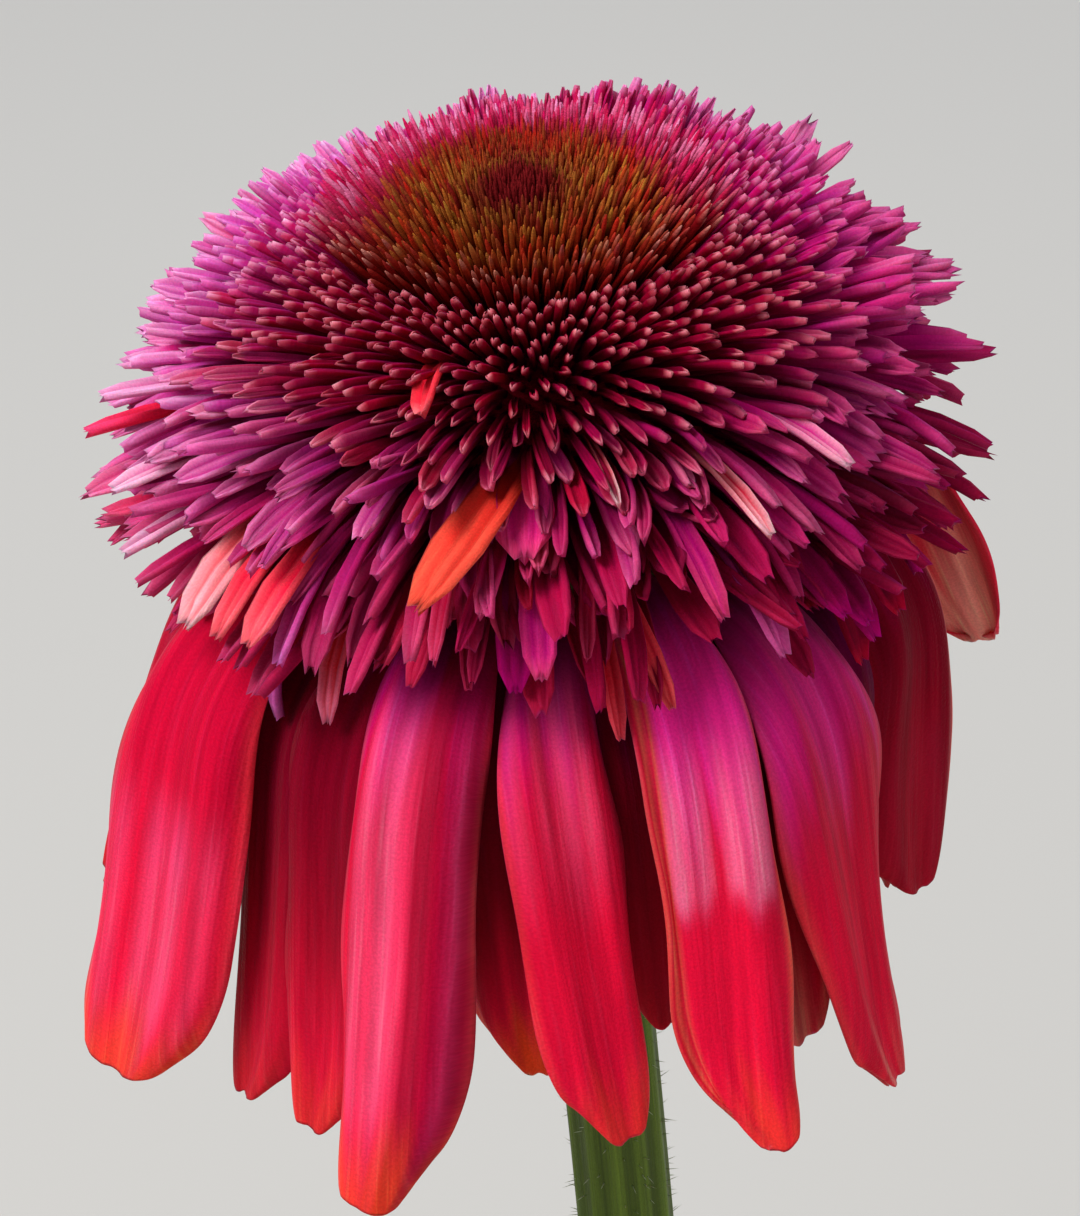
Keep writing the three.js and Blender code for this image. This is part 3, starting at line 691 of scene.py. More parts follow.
# Leaves up the stem: height, then the same.
stemLeaves = [
    (158, 12, 16, 92, 27, 58, -40, 6), (186, 200, 12, 80, 22, 56, -34, -8),
    (212, 88, 8, 66, 17, 54, -30, 8), (236, -72, 5, 52, 12, 50, -26, -6),
]
crown = dict(radius=9.5, rootLift=4, reach=0, stalkHalf=1.7, fold=0.22, teeth=7, toothDepth=0.07)
stemLeaf = dict(clear=1.25, reach=3.4, stalkHalf=1.1, fold=0.26, teeth=4, toothDepth=0.06)
leaf = dict(rows=132, stalkRows=14, columns=13, straight=0.12, wave=1.1, quilt=0.35, rib=1.5, stalkRib=2.6,
            thick=0.75, tipHalf=0.35, clasp=1.5, sideVeins=7, dark=(0.07, 0.16, 0.026),
            light=(0.12, 0.225, 0.045), vein=(0.235, 0.33, 0.095), under=(0.16, 0.26, 0.08),
            stalk=(0.19, 0.25, 0.07))


# Half width of a leaf along its blade, widest a third of the way up, with a drawn-out tip. Each tooth
# swells slowly and is cut back sharply, and the ends have none.
def leafHalf(blade, width, kind):
    plain = width / 2 * (np.sin(np.pi * clamp(blade) ** 0.72) ** 0.85 * (1 - 0.25 * blade))
    jag = np.interp((blade * kind["teeth"]) % 1, [0, 0.45, 0.75, 1], [-0.2, 1, -1, -0.2])
    toothed = smooth(blade / 0.12) * smooth((1 - blade) / 0.05)
    half = np.maximum(kind["stalkHalf"], plain * (1 + kind["toothDepth"] * jag * toothed))
    return np.where(blade > 0.9, np.maximum(leaf["tipHalf"], plain), half)


# A leaf's closed sections from its stalk's root to its tip. The section folds up from the midrib, with
# side veins that run forward to the edge, a vein along each side, waves, and quilting between the veins.
def leafBlade(start, shape, kind, seed):
    azimuth, stalk, length, width, lean, tipLean, roll = shape
    whole, straight = stalk + length, leaf["straight"]
    rows = np.unique(np.concatenate([np.linspace(0, stalk / whole, leaf["stalkRows"]),
                                     np.linspace(stalk / whole, 1, leaf["rows"])]))
    frames = walk([start], [whole], rows, lambda share: (
        azimuth, mix(lean, tipLean, ramp(share, straight, 1 - straight)), roll * share))
    blade = clamp((rows * whole - stalk) / length)[:, None]
    clasp = bell(rows * whole, 0, leaf["clasp"])[:, None] * (kind["reach"] > 0)
    half = leafHalf(blade, width, kind) * (1 + 0.6 * clasp)
    bladed = clamp((half - kind["stalkHalf"]) / (2 * kind["stalkHalf"])) * smooth(blade * 30)
    edge = np.linspace(-1, 1, leaf["columns"])
    v = np.concatenate([edge, edge[::-1]])
    out, lower = np.abs(v), np.arange(len(v)) >= leaf["columns"]
    run = blade * leaf["sideVeins"] - 1.5 * out ** 0.8
    side = bell(run, np.round(run), 0.1) * smooth(out * 8) * smooth((1 - out) * 6)
    long = bell(out, 0.38 * np.sin(np.pi * blade) ** 0.6, 0.05)
    vein = np.maximum(np.maximum(side * 0.7, long * smooth(1 - blade)), bell(v, 0, 0.07)) * bladed
    wave = leaf["wave"] * np.sin(blade * 17 + seed) * out ** 2.5 * np.sign(v)
    wave = wave + 0.8 * leaf["wave"] * np.sin(blade * 9 + 2 * seed) * out ** 2
    quilt = leaf["quilt"] * (1 - side) * np.abs(np.sin(np.pi * run)) * out * (1 - out) * 3
    fold = kind["fold"] * half * np.sqrt(v ** 2 + 0.004) * bladed
    flesh = mix(leaf["stalkRib"] * 0.5, leaf["rib"] * (1 - 0.6 * blade) * 0.5, bladed)
    core = mix(1.0, bell(v * half, 0, 1.5), bladed)
    thick = mix(leaf["thick"] / 2, flesh, core) * mix(np.sqrt(clamp(1 - v ** 2)), 1.0, bladed)
    x, y = v * half, fold + (wave + quilt - 0.3 * vein) * bladed
    y = y + np.where(lower, -thick, np.minimum(thick, mix(flesh * 0.5, leaf["thick"] / 2, bladed)))
    patch = clamp(0.5 + 0.5 * np.sin(blade * 5 + seed) * v)
    colour = coated(leaf["dark"], (leaf["light"], patch), (leaf["vein"], 0.8 * vein),
                    (leaf["under"], 0.6 * lower))
    grain = spread(x + 40 * seed, rows[:, None] * whole, 5.0 * lower)
    points = blades(frames, x[None], y[None], -kind["reach"] * clasp[None])
    return skin(points, tint(leaf["stalk"], colour, bladed), grain)


def makeLeaves():
    for i, shape in enumerate(crownLeaves):
        start = around(shape[0], crown["radius"]) + [0, 0, stemFoot[2] + crown["rootLift"]]
        blade = leafBlade(start, shape, crown, i + 1.0)
        addPiece(f"crown_leaf_blade_{i + 1}", [blade], leafLook, [f"crown_leaf_{i + 1}"])
    for i, (height, *shape) in enumerate(stemLeaves):
        share = (height - stemFoot[2]) / (stemEnd[2] - stemFoot[2])
        start = stemPath(share)[0] + around(shape[0], stem["footRadius"] + stemLeaf["clear"])
        blade = leafBlade(start, shape, stemLeaf, i + 11.0)
        addPiece(f"stem_leaf_blade_{i + 1}", [blade], leafLook, [f"stem_leaf_{i + 1}"])


makeLeaves()
print("leaves made")

# The green base of the head: a cup that flares from the stem, with rows of bent-back bracts.
bract = dict(count=48, length=9, width=2.9, depth=0.9, inset=3, rows=3, rise=0.4, rowInset=0.7,
             rowDrop=0.5, rowShortening=0.12, swing=8, rootSlope=-22, tipSlope=(-58, -80),
             green=(0.12, 0.2, 0.045), tip=(0.2, 0.13, 0.06),
             stations=np.array([0, 0.2, 0.4, 0.6, 0.8, 1.0]),
             half=np.array([0.9, 1.0, 0.92, 0.7, 0.42, 0.12]),
             across=np.array([-1, -0.5, 0, 0.5, 1, 0.5, 0, -0.5]),
             lift=np.array([0.1, 0.5, 0.25, 0.5, 0.1, -0.5, -0.8, -0.5]))


def makeReceptacle():
    cup = receptacle
    radius, side, foot = cup["radius"], cup["side"], cup["foot"]
    corners = [(cup["hole"], foot), (cup["neck"], foot), (cup["flare"], foot + cup["flareRise"]),
               (radius - cup["shoulder"], side), (radius, side + cup["edge"]), (radius, cup["top"]),
               (cup["hole"], cup["top"])]
    profile = evened(roundedProfile(corners, cup["edge"], cup["edgeSteps"]), cup["rowSpacing"])
    points = turned(profile, cup["sides"])
    points = points + cup["lumps"] * ripple(points, 5, 14)[..., None] * flatten
    base = skin(onHead(points), cup["green"], points)
    item = np.arange(bract["count"])
    row = item % bract["rows"]
    azimuth = 360 * item / bract["count"] + bract["swing"] * offset(item, 2)
    start = around(azimuth, radius - bract["inset"] - bract["rowInset"] * row)
    start[:, 2] = side + bract["rise"] - bract["rowDrop"] * row
    length = bract["length"] * mix(0.8, 1.08, draw(item, 3)) * (1 - bract["rowShortening"] * row)
    bend = mix(*bract["tipSlope"], draw(item, 5))[:, None]
    share = bract["stations"][:, None]
    frames = walk(start, length, bract["stations"], lambda s: (
        azimuth[:, None], mix(bract["rootSlope"], bend, smooth(s))))
    half = bract["width"] / 2 * bract["half"][:, None]
    x = half * bract["across"]
    y = bract["depth"] / 2 * bract["lift"] * (half / half.max())
    colour = tint(bract["green"], bract["tip"], ramp(share, 0.55, 0.45))
    grain = spread(x[None], length[:, None, None] * share, item[:, None, None])
    bracts = skin(onHead(blades(frames, x[None], y[None])), colour, grain)
    addPiece("head_base", [base, bracts], leafLook, ["receptacle"])


makeReceptacle()
print("head base made")

# Colours of the bloom, as linear red, green and blue.
crimson, scarlet, orange = (0.56, 0.003, 0.034), (0.78, 0.006, 0.042), (0.86, 0.065, 0.016)
magenta, violet, lilac = (0.52, 0.003, 0.18), (0.22, 0.003, 0.085), (0.66, 0.13, 0.44)
pink, palePink, salmon = (0.86, 0.06, 0.19), (0.95, 0.22, 0.38), (0.9, 0.13, 0.16)
# maroon is the colour of the painted shade on the petals.
maroon, cream = (0.035, 0.0004, 0.004), (0.95, 0.43, 0.34)

# Ray petals. Azimuth, drift towards the tip, length, width, flare, roll, layer and the tip's lean are the
# solids' own. What shows on each differs from the common look:
# shade runs from 0 dark, as painted shade, to 1 bright, tipLight paints light on the tip, and topShadow
# paints shadow on the top under the florets;
# magenta is how far down that colour reaches, and glow makes it brighter;
# the sheen is a painted highlight of pale streaks, with a start, an end, a strength and a softness;
# ember is the tip's orange, rim the edges', and cream a faded tip with its start;
# strip is a red band with two orange lines at the left edge (-1) or the right one (1);
# left and right roll an edge under, or up where they are negative, and curl scales the common bend;
# fold turns down the part to the right of foldAt, and turn adds degrees to the roll;
# wide scales the width, taper narrows the low half, narrow shapes the tip and notch cuts it.
rayLook = dict(shade=0.8, tipLight=0.0, topShadow=0.3, magenta=0.3, glow=0.0, sheenFrom=0.3, sheenTo=0.65,
               sheen=0.3, soft=0.2, ember=0.6, rim=0.2, cream=0.0, creamFrom=0.5, strip=0, left=0.0,
               right=0.0, curl=1.0, fold=0, foldAt=0.05, turn=0, wide=1.0, taper=0.0, narrow=0.9,
               notch=0.25)
rays = [
    (-92, -3, 42, 10, 21, -12, 1, 0, dict(shade=0.55, magenta=0.15, sheen=0.1, ember=0.4, right=0.2)),
    (-66, -4, 51, 13.5, 15, -28, 0, -0.4,
     dict(shade=1.0, magenta=0.08, sheenFrom=0.5, sheenTo=0.86, sheen=0.6, ember=0.8, narrow=0.8)),
    (-54, -12, 46, 9, 10, -8, 2, -0.8,
     dict(shade=0.12, magenta=0.12, sheen=0.0, ember=0.3, rim=0.0, tipLight=0.4)),
    (-36, -14, 46, 10, 9, -6, 1, -0.6,
     dict(shade=0.16, magenta=0.12, sheen=0.0, ember=0.5, rim=0.3, notch=0.0, tipLight=0.6)),
    (-20, -16, 50, 11, 17, 6, 0, -0.4,
     dict(shade=1.0, sheenFrom=0.2, sheenTo=0.8, sheen=0.65, soft=0.25, ember=0.8, fold=42, narrow=0.84,
          notch=0.0, topShadow=0.7)),
    (-11, -6, 39, 9, -2, 0, 2, 0.3, dict(shade=0.15, magenta=0.2, sheen=0.0, ember=1.3, tipLight=0.9)),
    (-2, 28, 43, 8.5, 13, -8, 1, 0.2,
     dict(shade=1.0, sheenFrom=0.14, sheenTo=0.46, sheen=0.5, ember=0.5, right=0.3, notch=0.0, topShadow=0.5)),
    (13, 8, 35, 8, 2, 0, 2, 0, dict(shade=0.12, sheen=0.05, ember=0.3)),
    (21, -18, 47, 9.5, 11, 8, 0, 0.9,
     dict(shade=1.0, magenta=0.46, sheenFrom=0.32, sheenTo=0.57, sheen=1.2, soft=0.07, left=-1.2,
          right=0.25, notch=0.1, rim=0.8, glow=0.9, strip=-1, taper=0.12, topShadow=0.0)),
    (34, 8, 39, 9, 5, 0, 2, 0,
     dict(shade=0.12, sheen=0.0, ember=0.0, cream=0.9, tipLight=0.45, creamFrom=0.72, wide=1.15)),
    (43, 4, 48, 10.5, 6, -30, 1, 0.9,
     dict(shade=0.95, magenta=0.38, sheenFrom=0.12, sheenTo=0.42, sheen=0.35, ember=0.1, curl=0.35,
          notch=0.1, rim=0.3, glow=0.5, wide=1.42, turn=8, taper=0.4, cream=1.0, creamFrom=0.9)),
    (59, 0, 42, 8, -9, 0, 2, 0, dict(shade=0.08, magenta=0.4, sheen=0.0, ember=0.1, cream=0.45, wide=1.3)),
    (82, -2, 42, 11, -4, 32, 1, 0.3,
     dict(shade=0.15, magenta=0.25, sheenFrom=0.6, sheenTo=0.9, sheen=0.2, ember=0.1, right=0.3, strip=1,
          topShadow=0.8)),
    (102, 2, 44, 10, -2, 0, 2, 0.2, dict(shade=0.4)),
    (126, 8, 44, 12, 22, -30, 0, -0.3,
     dict(shade=1.0, magenta=0.1, sheen=0.2, ember=0.0, cream=0.75, creamFrom=0.6, rim=0.0, taper=0.25)),
    (146, 0, 46, 10.5, 3, 0, 1, 0.4, dict(sheen=0.4, ember=0.5, left=0.2)),
    (163, 2, 50, 11, 8, 5, 0, -0.3, dict(shade=0.95, magenta=0.35, sheen=0.6, fold=30, foldAt=0.3)),
    (181, -2, 46, 10.5, 3, 0, 1, 0, dict(sheen=0.4, right=0.4)),
    (199, -3, 50, 11, 9, 4, 0, 0.5,
     dict(shade=1.0, sheenTo=0.62, sheen=0.9, soft=0.1, ember=0.8, left=-0.5, notch=0.5)),
    (217, 2, 47, 10.5, 5, 0, 1, -0.5, dict(magenta=0.4, sheen=0.4, right=0.2)),
    (235, 0, 50, 11, 12, -4, 0, 0.3, dict(shade=0.95, sheenFrom=0.4, sheenTo=0.75, sheen=0.6, ember=0.9)),
    (252, 0, 44, 10, 6, 0, 2, -0.2, dict(shade=0.55, sheen=0.2, notch=0.5)),
]
ray = dict(thickness=0.55, ridge=0.55, notch=1.3, claw=0.3, root=11.75, top=-4.3, layer=1.55, bend=24,
           layerBend=3, bendScale=1.15, rootSlope=-4, rows=72, columns=31, edgeTurn=38, rollTurn=120,
           wider=1.05, vein=0.085, veins=5.5, wave=0.35, tipFrom=0.76, tipLean=0.55,
           glow=(0.86, 0.018, 0.27), under=(0.5, 0.05, 0.06), shadeTip=(0.22, 0.003, 0.01),
           stripLine=(0.9, 0.15, 0.1))


# How far a share of the length is into the rounded tip.
def atTip(share):
    return clamp((share - ray["tipFrom"]) / (1 - ray["tipFrom"]))


# Width of a ray petal along its length: a narrow claw, a long strap and a rounded tip.
def rayOutline(share, narrow):
    strap = mix(ray["claw"], 1, np.sin(np.pi / 2 * clamp(share / 0.55)))
    return strap * np.sqrt(1 - (atTip(share) * narrow) ** 2)


# The closed section of a ray petal: its edges turn down by an angle that grows outwards, more where an
# edge is rolled or folded. Two ridges and fine veins stand on it. Walls of even thickness lie square to it.
def raySection(share, half, look, seed):
    edge = np.linspace(-1, 1, ray["columns"])
    out, step = np.abs(edge), np.diff(edge)
    rolled = np.where(edge < 0, look["left"], look["right"]) * ramp(out, 0.55, 0.45)
    folded = look["fold"] * ramp(edge, look["foldAt"] - 0.06, 0.12)
    opened = ramp(share, 0.12, 0.3)[:, None]
    turn = ray["edgeTurn"] * look["curl"] * ramp(out, 0.3, 0.7) + ray["rollTurn"] * rolled * opened
    turn = -np.sign(edge) * np.radians(turn) - np.radians(folded * opened)
    middle = (turn[:, 1:] + turn[:, :-1]) / 2
    x, y = [np.cumsum(part(middle) * step, axis=1) for part in (np.cos, np.sin)]
    x, y = [np.concatenate([np.zeros((len(share), 1)), part], 1) for part in (x, y)]
    centre = ray["columns"] // 2
    x, y = (x - x[:, centre:centre + 1]) * half, (y - y[:, centre:centre + 1]) * half
    body = rayOutline(share, look["narrow"])[:, None]
    relief = ray["ridge"] * np.sin(np.pi * edge) ** 2 * body
    veins = np.cos(2 * np.pi * ray["veins"] * edge + seed) ** 2
    relief = relief - ray["vein"] * veins * body * (1 - edge ** 8)
    relief = relief + ray["wave"] * out ** 3 * np.sin(share[:, None] * 15 + seed + 2.2 * np.sign(edge))
    wall = ray["thickness"] / 2 * (1 - 0.5 * out ** 6)
    upper, lower = relief + wall, relief - wall
    x = np.concatenate([x - upper * np.sin(turn), (x - lower * np.sin(turn))[:, ::-1]], 1)
    y = np.concatenate([y + upper * np.cos(turn), (y + lower * np.cos(turn))[:, ::-1]], 1)
    return np.concatenate([edge, edge[::-1]]), x, y


# Cut-back of a petal's tip: its corners are rounded, with a shallow notch in the middle and small waves.
def tipCut(v, notch, seed):
    dent = notch * ray["notch"] * bell(v, 0, 0.2)
    return 0.4 - (0.5 + ray["notch"]) * np.abs(v) ** 3 - dent + 0.15 * np.sin(5 * v + seed)


# Colour over a petal: violet and magenta under the florets, then red, with a painted sheen of pale streaks
# and a painted lilac reflection, an orange tip and rim, and painted shade in maroon where it hangs in the
# shade and at its top under the florets. Past a fold it has painted shade, with a pale painted highlight on
# the crease.
# The lower face is duller.
def rayTone(share, v, look, seed):
    s, across = share[:, None], v
    out, lower = np.abs(across), np.arange(len(v)) >= ray["columns"]
    fray = 0.05 * np.sin(across * 7 + seed) + 0.03 * np.sin(across * 19 + 2 * seed)
    lines = clamp(0.6 + 0.6 * np.sin(across * 11 + seed) * np.sin(across * 5.3 + 1.7 * seed))
    lines = lines * clamp(1.1 - 0.5 * (across - 0.1) ** 2)
    # The sheen band is a painted highlight: pink and pale streaks, with a painted lilac reflection above
    # them.
    band = ramp(s, look["sheenFrom"], 0.14) * (1 - ramp(s + 0.3 * fray, look["sheenTo"], look["soft"]))
    sheen = look["sheen"] * band
    folded = (look["fold"] > 0) * (1 - lower)
    red = tint(crimson, scarlet, ramp(s + 0.3 * fray, 0.35, 0.4))
    foldShade = tint(crimson, magenta, 0.3 * bell(across, 0.6, 0.18)) * 0.62
    rim = look["rim"] * ramp(out, 0.8, 0.16) * ramp(s, 0.15, 0.3)
    colour = coated(
        tint(violet, magenta, ramp(s, 0.1, 0.2)),
        (ray["glow"], look["glow"] * ramp(s, 0.12, 0.15)),
        (red, ramp(s + fray, look["magenta"] - 0.1, 0.24)),
        (pink, clamp(0.85 * sheen * lines)),
        (palePink, clamp(0.8 * (sheen - 0.45)) * ramp(s, look["sheenFrom"], 0.3) * lines ** 2),
        (lilac, 0.25 * sheen * (1 - ramp(s, look["sheenFrom"], 0.25)) * lines),
        # Past a fold the petal gets painted shade, and a pale painted highlight runs along the crease.
        (foldShade, 0.8 * ramp(across, look["foldAt"], 0.06) * folded),
        (pink, 0.5 * bell(across, look["foldAt"] - 0.02, 0.035) * folded * ramp(s, 0.2, 0.2)),
        (orange, clamp(0.75 * look["ember"] * ramp(s + 0.6 * fray, 0.84, 0.16))),
        (tint(orange, salmon, 0.3), clamp(rim * (0.4 + 0.6 * look["shade"]))))
    colour = tint(colour, tint(colour * 0.75, ray["under"], 0.3), lower)
    faded = look["cream"] * ramp(s + 2 * fray, look["creamFrom"], 0.35) * (1 - out ** 3)
    colour = tint(colour, cream, clamp(faded * (0.5 + 0.5 * lines)) * mix(0.5, 1, lower))
    # Painted shade: where lit is low the colour gives way to maroon, and topShadow paints shadow on the
    # top.
    lit = clamp(look["shade"] + look["tipLight"] * ramp(s + fray, 0.6, 0.35))
    strip = ramp(across * look["strip"], 0.54, 0.14) * ramp(s, 0.1, 0.15) * (1 - lower)
    return coated(
        tint(maroon, ray["shadeTip"], ramp(s, 0.3, 0.6)),
        (colour, mix(0.12, 1, lit)),
        (maroon, look["topShadow"] * (1 - ramp(s, 0.12, 0.22))),
        (tint(crimson, scarlet, 0.3 + 0.6 * s), 0.9 * strip),
        (ray["stripLine"], 0.7 * strip * clamp(bell(out, 0.64, 0.05) + bell(out, 0.86, 0.05))))


def makeRays():
    share = 1 - (1 - np.linspace(0, 1, ray["rows"])) ** 1.25
    for i, (azimuth, drift, length, width, flare, roll, layer, lean, changes) in enumerate(rays):
        look = {**rayLook, **changes}
        seed = 1.7 * i
        start = around(azimuth, ray["root"]) + [0, 0, ray["top"] - layer * ray["layer"]]
        bend = ray["bendScale"] * (ray["bend"] - ray["layerBend"] * layer) / length
        frames = walk([start], [length], share, lambda s: (
            azimuth + drift * smooth(s), mix(ray["rootSlope"], flare - 90, smooth(s / bend)),
            (roll + look["turn"]) * smooth(s * 1.4)))
        wide = width / 2 * ray["wider"] * mix(1, look["wide"], ramp(share, 0.1, 0.4))
        wide = wide * (1 - look["taper"] * ramp(share, 0.45, 0.5))
        v, x, y = raySection(share, (wide * rayOutline(share, look["narrow"]))[:, None], look, seed)
        x = x + (width / 2 * ray["tipLean"] * lean * atTip(share) ** 2)[:, None]
        z = tipCut(v, look["notch"], seed) * ramp(share[:, None], 0.86, 0.14) ** 1.5
        grain = spread(x, share[:, None] * length, float(i))
        points = onHead(blades(frames, x[None], y[None], z[None]))
        petal = skin(points, rayTone(share, v, look, seed), grain)
        addPiece(f"ray_petal_skin_{i + 1}", [petal], petalLook, [f"ray_petal_{i + 1}"])


makeRays()
print("ray petals made")

# The dome that the florets and the bristles stand on, and the pompon of florets round it.
dome = dict(radius=17, rise=16.5, middle=2, floor=-2.8, floorRadius=13.5, floorEdge=1.2, cut=14,
            wallRows=14, sides=64, hole=0.5)
pompon = dict(florets=1560, top=47.5, bottom=-12, crowding=0.56, longest=13.8, shortest=5.4, width=1.68,
              tube=0.6, depth=1.0, sink=1.2, droop=30, droopSpread=34, swing=36, twist=120, clump=9,
              gather=18, frontLift=3, frontShortening=0.08, backExtra=1.4, leftExtra=0.7, tuft=2.5,
              tuftSize=7, flatFrom=(42, 32), flatRun=25, shadowCore=(0.2, 0.0015, 0.012))
# Florets that stand out: azimuth, latitude, length, width, droop, swing, twist, body, tip, where the tip's
# colour starts and how strong the pale ribs are.
accents = [
    (-2, 20, 17.0, 4.8, 62, -50, 8, (0.7, 0.018, 0.014), (0.88, 0.1, 0.06), 0.45, 0.4),
    (-2, 20, 11.0, 4.2, 60, 0, 0, (0.56, 0.004, 0.16), pink, 0.85, 0.3),
    (-54, 5, 15.5, 4.0, 56, 0, 0, (0.7, 0.012, 0.03), (0.96, 0.42, 0.48), 0.45, 0.4),
    (-47, 6, 15.5, 2.8, 56, 0, 10, scarlet, salmon, 0.7, 0.3),
    (-40, 6, 15.5, 2.6, 48, 0, -10, scarlet, salmon, 0.7, 0.4),
    (-38, 5, 15.0, 2.0, 62, 0, 20, magenta, lilac, 0.75, 0.3),
    (-52, -8, 16.0, 1.8, 90, 0, 20, (0.3, 0.004, 0.14), lilac, 0.8, 0.2),
    (-37, -6, 14.5, 1.8, 76, 0, -20, (0.62, 0.012, 0.02), palePink, 0.8, 0.3),
    (-78, 14, 15.5, 2.6, 25, 0, 20, scarlet, pink, 0.8, 0.2),
    (-74, 20, 15.0, 2.4, 22, 0, 10, magenta, (0.84, 0.36, 0.62), 0.5, 0.6),
    (-68, 11, 15.0, 2.2, 26, 0, -10, magenta, (0.86, 0.5, 0.68), 0.7, 0.6),
    (-66, 2, 15.0, 2.6, 22, 0, 15, magenta, (0.86, 0.4, 0.6), 0.6, 0.6),
    (-1, 6, 14.0, 2.6, 64, 0, 0, magenta, pink, 0.88, 0.3),
    (-5, 0, 12.5, 2.6, 60, 0, 0, (0.3, 0.003, 0.08), magenta, 0.85, 0.4),
    (12, -4, 14.0, 1.5, 60, 24, 30, scarlet, (0.94, 0.09, 0.1), 0.6, 0.4),
    (9, -8, 14.0, 1.5, 64, 0, -20, (0.62, 0.006, 0.024), (0.94, 0.08, 0.12), 0.8, 0.4),
    (12, 21, 11.0, 0.8, 34, 0, 0, crimson, (0.92, 0.5, 0.55), 0.75, 0.3),
    (22, 12, 15.0, 2.2, 62, 4, -15, magenta, pink, 0.7, 0.4),
    (31, 17, 13.5, 1.5, 50, 2, 0, crimson, (0.93, 0.45, 0.52), 0.8, 0.5),
    (45, 21, 13.5, 1.8, 50, 4, 0, magenta, (0.9, 0.38, 0.5), 0.8, 0.5),
    (33, 0, 14.0, 2.6, 62, 2, -20, (0.4, 0.004, 0.16), (0.84, 0.12, 0.4), 0.7, 0.3),
    (-22, 40, 9.6, 2.2, 62, 16, 30, (0.74, 0.008, 0.028), salmon, 0.9, 0.2),
    (43, -2, 13.5, 2.8, 42, 0, 0, (0.28, 0.003, 0.06), magenta, 0.9, 0.2),
    (48, -4, 14.0, 2.6, 48, 0, 20, (0.2, 0.002, 0.04), magenta, 0.9, 0.2),
    (52, -6, 14.5, 2.8, 62, 0, 0, (0.22, 0.002, 0.05), magenta, 0.9, 0.2),
    (56, -12, 14.5, 3.0, 72, 0, 0, (0.18, 0.002, 0.02), crimson, 0.9, 0.2),
    (62, -8, 14.0, 2.8, 62, 0, 20, (0.16, 0.002, 0.02), crimson, 0.9, 0.2),
    (72, -8, 13.5, 2.6, 60, 0, -20, (0.2, 0.002, 0.03), magenta, 0.9, 0.2),
]
accentKeys = ("azimuth", "level", "length", "width", "droop", "swing", "twist", "body", "tip", "tipStart",
              "ribs")


# A point of the dome at a latitude and azimuth, with the slope of the dome's normal there.
def domePoint(latitude, azimuth):
    u = np.radians(latitude)
    point = around(azimuth, dome["radius"] * np.cos(u))
    point[..., 2] = dome["middle"] + dome["rise"] * np.sin(u)
    return point, np.degrees(np.arctan2(np.sin(u) / dome["rise"], np.cos(u) / dome["radius"]))


def domeLatitude(height):
    return math.degrees(math.asin((height - dome["middle"]) / dome["rise"]))


# A plain core of the head, turned from its outline, that closes the view between the florets. Its dark
# colour is painted shade.
def coreSkin(outline, colour):
    core = turned(np.array(outline), dome["sides"])
    return skin(onHead(core), colour, core)


# The florets' closed section: a rib along each edge and the middle of the upper face, a keel under it.
# Then how much of the cut-back reaches each column where the tip is pointed, and where it is forked.
floretAcross = np.array([-1, -0.72, -0.36, 0, 0.36, 0.72, 1, 0.6, 0, -0.6])
floretLift = np.array([0.45, 1.05, 0.0, 0.4, 0.0, 1.05, 0.45, -0.5, -0.95, -0.5])
floretRib = np.array([0.8, 1.0, 0.0, 0.6, 0.0, 1.0, 0.8, 0.1, 0.1, 0.1])
pointedCut = np.array([0, 0, -0.6, 0.8, -0.6, 0, 0, 0, 0.8, 0])
forkedCut = np.array([0, 0.8, 0, -0.8, 0, 0.8, 0, 0, -0.8, 0])
floretRows = np.array([0, 0.3, 0.55, 0.75, 0.91, 1.0])
tubeHalf = np.array([0.62, 0.74, 0.84, 0.95, 1.0, 0.42])
strapHalf = np.array([0.42, 0.62, 0.84, 1.0, 0.92, 0.52])
tipShare = np.array([0, 0, 0, 0, 0.25, 1.0])


# Straps from their root points, with a toothed tip. The inner ones are tubes, the outer ones flat and
# widest near the tip. Gives the points and how far each is across.
def strapPoints(f):
    azimuth, slope, droop, swing, twist = [
        f[key][:, None] for key in ("azimuth", "slope", "droop", "swing", "twist")]
    start = f["point"] - directions(f["azimuth"], f["slope"])[0] * pompon["sink"]
    frames = walk(start, f["length"] + pompon["sink"], floretRows, lambda share: (
        azimuth + swing * share, slope - droop * share, twist * share))
    flat, width, tip = f["flat"], f["width"] / 2, tipShare[:, None]
    half = mix(tubeHalf, strapHalf, flat[:, None])[:, :, None]
    x = width[:, None, None] * half * floretAcross
    y = pompon["depth"] / 2 * mix(0.65, 1, flat)[:, None, None] * np.sqrt(half) * floretLift
    cut = mix(pointedCut, forkedCut, f["teeth"][:, None])
    z = (width * mix(0.25, 1, flat))[:, None, None] * tip * cut[:, None]
    return blades(frames, x * (1 - 0.2 * tip), y, z), x


# Colours along a strap: a dark root painted as shade between the florets, then its body's colour, paler
# ribs and a pale tip.
def strapTone(f):
    s = floretRows[:, None]
    root, body, tip, tipStart, tipAmount, ribs = [
        f[key][:, None, None] for key in ("root", "body", "tip", "tipStart", "tipAmount", "ribs")]
    pale = smooth((s - tipStart) / (1 - tipStart)) * np.where(floretLift > 0, 1, 0.4)
    return coated(root, (body, ramp(s, 0.2, 0.5)), (tip, ribs * floretRib * ramp(s, 0.35, 0.4)),
                  (tip, tipAmount * pale))


